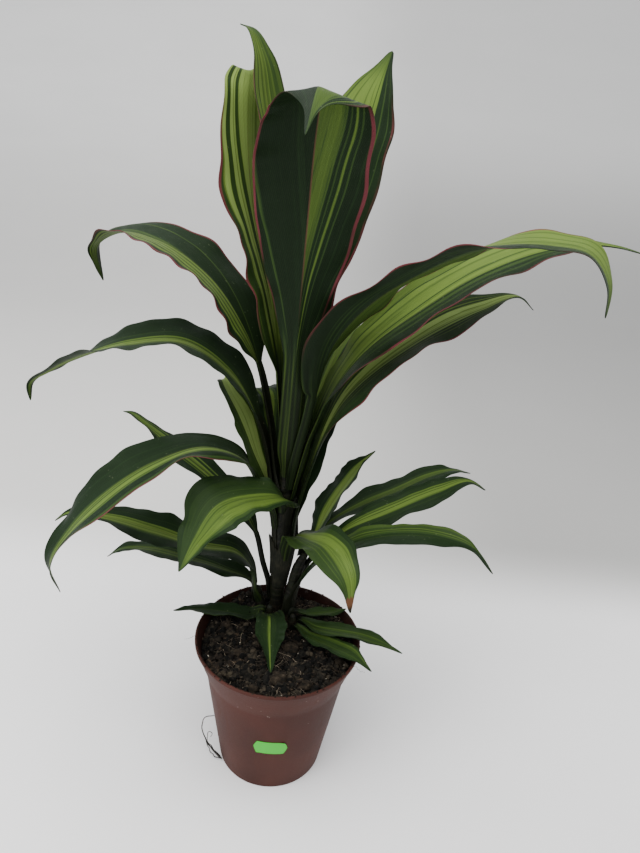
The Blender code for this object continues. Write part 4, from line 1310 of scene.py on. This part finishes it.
def scatterTree(name, material, form):
    # Geometry Nodes: small lumps laid over a patch, turned, sized and dented at random
    tree = bpy.data.node_groups.new(name, "GeometryNodeTree")
    face, sockets = tree.interface, {}
    for key, kind in (("Geometry", "Geometry"), ("Density", "Float"), ("Smallest", "Float"),
                      ("Largest", "Float"), ("Seed", "Int"), ("Lift", "Float")):
        made = face.new_socket(key, in_out="INPUT", socket_type="NodeSocket" + kind)
        sockets[key] = made.identifier
    face.new_socket("Geometry", in_out="OUTPUT", socket_type="NodeSocketGeometry")
    given = tree.nodes.new("NodeGroupInput").outputs
    most, least, largest = lumpForms[form]

    def node(kind, inputs=None, out=0, **settings):
        # a node with its settings and inputs, each linked to a socket or set to a value
        made = tree.nodes.new(kind)
        for key, value in settings.items():
            setattr(made, key, value)
        for key, value in (inputs or {}).items():
            if isinstance(value, bpy.types.NodeSocket):
                tree.links.new(value, made.inputs[key])
            else:
                made.inputs[key].default_value = value
        return made.outputs[out]

    def draw(low, high, first, kind):
        # a random value for each lump; floats come after vectors among a node's sockets
        return node("FunctionNodeRandomValue",
                    {2 * first: low, 2 * first + 1: high, "Seed": given["Seed"]}, first,
                    data_type=kind)

    def vector(operation, inputs):
        return node("ShaderNodeVectorMath", inputs, operation=operation)

    spots = node("GeometryNodeDistributePointsOnFaces",
                 {"Mesh": given["Geometry"], "Density": given["Density"], "Seed": given["Seed"]})
    ball = node("GeometryNodeMeshIcoSphere", {"Radius": 1.0, "Subdivisions": 1})
    turn = draw((0.0, 0.0, 0.0), most, 0, "FLOAT_VECTOR")
    size = draw(given["Smallest"], given["Largest"], 1, "FLOAT")
    stretch = draw(least, largest, 0, "FLOAT_VECTOR")
    scale = vector("SCALE", {0: stretch, "Scale": size})
    lay = node("GeometryNodeInstanceOnPoints",
               {"Points": spots, "Instance": ball, "Rotation": turn, "Scale": scale})
    real = node("GeometryNodeRealizeInstances", {"Geometry": lay})
    dent = node("ShaderNodeTexNoise", {"Vector": node("GeometryNodeInputPosition"),
                                       "Scale": dents["scale"] / mm, "Detail": 2.0}, 1)
    dent = vector("SUBTRACT", {0: dent, 1: (0.5, 0.5, 0.5)})
    dent = vector("SCALE", {0: dent, "Scale": dents["reach"] * mm})
    shift = vector("ADD", {0: dent, 1: node("ShaderNodeCombineXYZ", {"Z": given["Lift"]})})
    moved = node("GeometryNodeSetPosition", {"Geometry": real, "Offset": shift})
    painted = node("GeometryNodeSetMaterial", {"Geometry": moved, "Material": material})
    tree.links.new(painted, tree.nodes.new("NodeGroupOutput").inputs["Geometry"])
    return tree, sockets


def scatter(patch, area, paints, row):
    name, paint, count, (smallest, largest), lift, form, seed = row
    tree, sockets = scatterTree(name, paints[paint], form)
    base = makeObject(name + "_base", patch.copy())
    grow = base.modifiers.new("scatter", "NODES")
    grow.node_group = tree
    values = {"Density": count / area, "Smallest": smallest * mm, "Largest": largest * mm,
              "Seed": seed, "Lift": lift * mm}
    for key, value in values.items():
        grow[sockets[key]] = value
    mesh = evaluated(base)
    bpy.data.objects.remove(base)
    mesh.name = name
    smooth(mesh, 50)
    dress(makeObject(name, mesh, paints[paint]), "soil")


def patchMesh(rings=26, sides=90):
    # the part of the soil's top that crumbs may lie on: short of the wall
    points, faces = [], []
    for i in range(1, rings + 1):
        for k in range(sides):
            radius = (soil["reach"] - soil["bare"]) * i / rings
            x, y, _ = around(radius, 2 * math.pi * k / sides)
            points.append((x, y, soilTop(x, y)))
    for a in range(0, (rings - 1) * sides, sides):
        b = a + sides
        for k in range(sides):
            n = (k + 1) % sides
            faces.append((b + k, a + k, a + n, b + n))
    return meshOf("patch", points, faces)


def fibreMesh(name, count, seed, radius, reach, steps=12):
    # thin roots and coir, lying over the crumbs
    draw = random.Random(seed)
    shapes = []
    for _ in range(count):
        far = (soil["reach"] - 5) * math.sqrt(draw.random())
        x, y, _ = around(far, draw.uniform(0, 2 * math.pi))
        heading, bend = draw.uniform(0, 2 * math.pi), draw.uniform(-0.09, 0.09)
        length = draw.uniform(*reach)
        thick = draw.uniform(0.6, 1.2) * radius
        arch = draw.uniform(0.3, 1.6)
        line = []
        for k in range(steps + 1):
            line.append((x, y, soilTop(x, y) + 0.7 + arch * math.sin(math.pi * k / steps)))
            heading += bend + draw.uniform(-0.2, 0.2)
            x += math.cos(heading) * length / steps
            y += math.sin(heading) * length / steps
            if math.hypot(x, y) > soil["reach"] - 2:
                heading += 0.9
        tangents = np.gradient(np.array(line), axis=0)
        rings = [(point, unit(tangent), thick * (1 - 0.6 * k / steps))
                 for k, (point, tangent) in enumerate(zip(line, tangents))]
        shapes.append(tube(rings, 5, (0.05, 0.02, 1.0)))
    return meshOf(name, *joined(shapes))


def lumpMesh(rows=22, sides=36):
    # the few big clods, each a dented ball
    shapes = []
    for number, (x, y, rise, radius) in enumerate(soil["lumps"]):
        middle, points = np.array([x, y, soilTop(x, y) + rise]), []
        for i in range(rows, -1, -1):
            lean = math.pi * i / rows
            for k in range(sides if 0 < i < rows else 1):
                out = around(math.sin(lean), 2 * math.pi * k / sides, math.cos(lean))
                dent = noise.fractal(Vector(out * 1.7 + number * 5.0), 0.7, 2.1, 5)
                points.append(middle + out * (1.0, 1.0, 0.7) * radius * (1 + 0.22 * dent))
        shapes.append((points, ringFaces([1] + [sides] * (rows - 1) + [1])))
    return meshOf("soil_lumps", *joined(shapes))


def lipMesh(sides=360):
    points = [around(radius, 2 * math.pi * k / sides, pot["height"])
              for k in range(sides) for radius in pot["lipRing"]]
    faces = [(2 * k, 2 * k + 1, (2 * k + 3) % len(points), (2 * k + 2) % len(points))
             for k in range(sides)]
    return meshOf("lip", points, faces)


def layFibres(name, tone, *shape):
    g = Graph(name)
    color = g.mix(g.grain(g.place(), 0.4), tone, tuple(0.55 * c for c in tone))
    material = g.finish(Base_Color=color, Roughness=0.8)
    dress(makeObject(name, fibreMesh(name, *shape), material), "root")


def fillPot():
    paints = {name: soilMaterial(name) for name in soilPaints}
    dress(makeObject("soil_bed", soilMesh(), paints["peatAndGapShade"]), "soil", "soil")
    dress(makeObject("soil_lumps", lumpMesh(), paints["bigClods"]), "soil")
    patch, lip = patchMesh(), lipMesh()
    inner, outer = pot["lipRing"]
    for row in scattered:
        scatter(patch, math.pi * (soil["reach"] * mm) ** 2, paints, row)
    scatter(lip, math.pi * (outer**2 - inner**2) * mm * mm, paints, spilled)
    bpy.data.meshes.remove(patch)
    bpy.data.meshes.remove(lip)
    for row in fibreRows:
        layFibres(*row)
    print("soil filled")


fillPot()


# Price label, bare

label = {
    "width": 24.4, "height": 12.8, "thick": 0.22, "off": 0.12, "z": 48.6,
    "turn": math.radians(-87.0), "tilt": math.radians(-2.0),
    "ends": (2.4, 1.0, 0.0, 1.0, 2.4),  # how far each end is cut in, from bottom to top
    "curls": ((0.55, 1.45, 0.55), (0.3, 1.6, 0.4)),  # lift, where it starts and its span
    "columns": 61, "rows": 33,
    "color": (0.012, 0.44, 0.004),
    "fibreColor": (0.1, 0.38, 0.08),
}


def labelMesh():
    columns, rows, tilt, ends = (label[key] for key in ("columns", "rows", "tilt", "ends"))
    points = []
    for lift in (label["off"], label["off"] + label["thick"]):
        for j in range(rows):
            for i in range(columns):
                u, v = 2.0 * i / (columns - 1) - 1.0, 2.0 * j / (rows - 1) - 1.0
                cut = np.interp((v + 1) / 2 * (len(ends) - 1), range(len(ends)), ends)
                cut += 40.0 * max(0.0, abs(v) - 0.9) ** 2  # rounded corners
                x = u * (0.5 * label["width"] - cut * abs(u))
                z = v * 0.5 * label["height"]
                height = label["z"] + z * math.cos(tilt) + x * math.sin(tilt)
                curl = sum(high * smoothStep((at - start) / span)
                           for at, (high, start, span) in zip((u + v, -u - v), label["curls"]))
                radius = wallRadius(height) + lift + curl
                turn = label["turn"] + (x * math.cos(tilt) - z * math.sin(tilt)) / radius
                points.append(around(radius, turn, height))
    return meshOf("price_tag", points, sheetFaces(rows, columns), 40)


def stickLabel():
    g = Graph("labelPaper")
    fibre, cloud = g.grain(g.place(), 2.4, 3.0), g.grain(g.place(), 0.12)
    color = g.mix(cloud * 0.5, label["color"], tuple(0.82 * c for c in label["color"]))
    color = g.mix(g.step(fibre, 0.62, 0.75) * 0.2, color, label["fibreColor"])
    paper = g.finish(Base_Color=color, Roughness=0.55 + (fibre - 0.5) * 0.2,
                     Normal=g.bump(fibre, 0.06, 0.4))
    dress(makeObject("price_tag", labelMesh(), paper), "label", "price_label")
    print("label stuck on")


stickLabel()


# Stray roots

strayRoots = (
    # piece, thickest and thinnest radius, points
    ("foot_root", 0.6, 0.3, ((-34.9, -20.7, 3.0), (-41, -18, 6), (-49, -13, 13), (-53, -8, 22),
                             (-51, -7, 29), (-43.9, -6.9, 32))),
    ("foot_root_loop", 0.4, 0.2, ((-36.5, -18.6, 3.2), (-43, -16, 8), (-48, -13, 15),
                                  (-47, -11, 19), (-44.6, -10.5, 17), (-45.5, -11.5, 14))),
    ("foot_root_curl", 0.45, 0.2, ((-35.6, -19.8, 2.4), (-40.5, -19.5, 3.2), (-46, -16.5, 8.5),
                                   (-49.5, -13.5, 15))),
    ("rim_hair_left", 0.12, 0.06, ((-57.6, -8, 108.6), (-60.3, -8.6, 109.0), (-63, -9.5, 107.6),
                                   (-66.5, -9.2, 106.0))),
    ("rim_hair_right", 0.12, 0.06, ((53.6, -23, 108.6), (56.6, -24.4, 109.4), (60, -26, 107.4),
                                    (63.5, -26.3, 107.2))),
)
rootTones = ((0.3, (0.006, 0.0045, 0.0035)), (0.7, (0.022, 0.016, 0.011)))


def rootMesh(name, thick, thin, knots, count=60):
    points, _ = smoothRoute(knots, count)
    draw = random.Random(len(name) * 7)
    wiggle = [(draw.uniform(2, 7), draw.uniform(0, 6.3)) for _ in range(3)]
    rings = []
    for i, tangent in enumerate(np.gradient(points, axis=0)):
        share = i / (count - 1)
        shift = np.array([math.sin(2 * math.pi * turns * share + phase) for turns, phase in wiggle])
        shift *= 0.25 * math.sin(math.pi * share)
        rings.append((points[i] + shift, unit(tangent), between(thick, thin, share)))
    return meshOf(name, *tube(rings, 10))


def trailRoots():
    g = Graph("rootSkin")
    grain = g.grain(g.place(), 0.9, 3.0)
    skin = g.finish(Base_Color=g.ramp(grain, rootTones), Roughness=0.8,
                    Normal=g.bump(grain, 0.1, 0.5))
    for name, *shape in strayRoots:
        nodes = ["drain_root"] if name == "foot_root" else []
        dress(makeObject(name, rootMesh(name, *shape), skin), "root", *nodes)
    print("roots trailed:", len(strayRoots))


trailRoots()
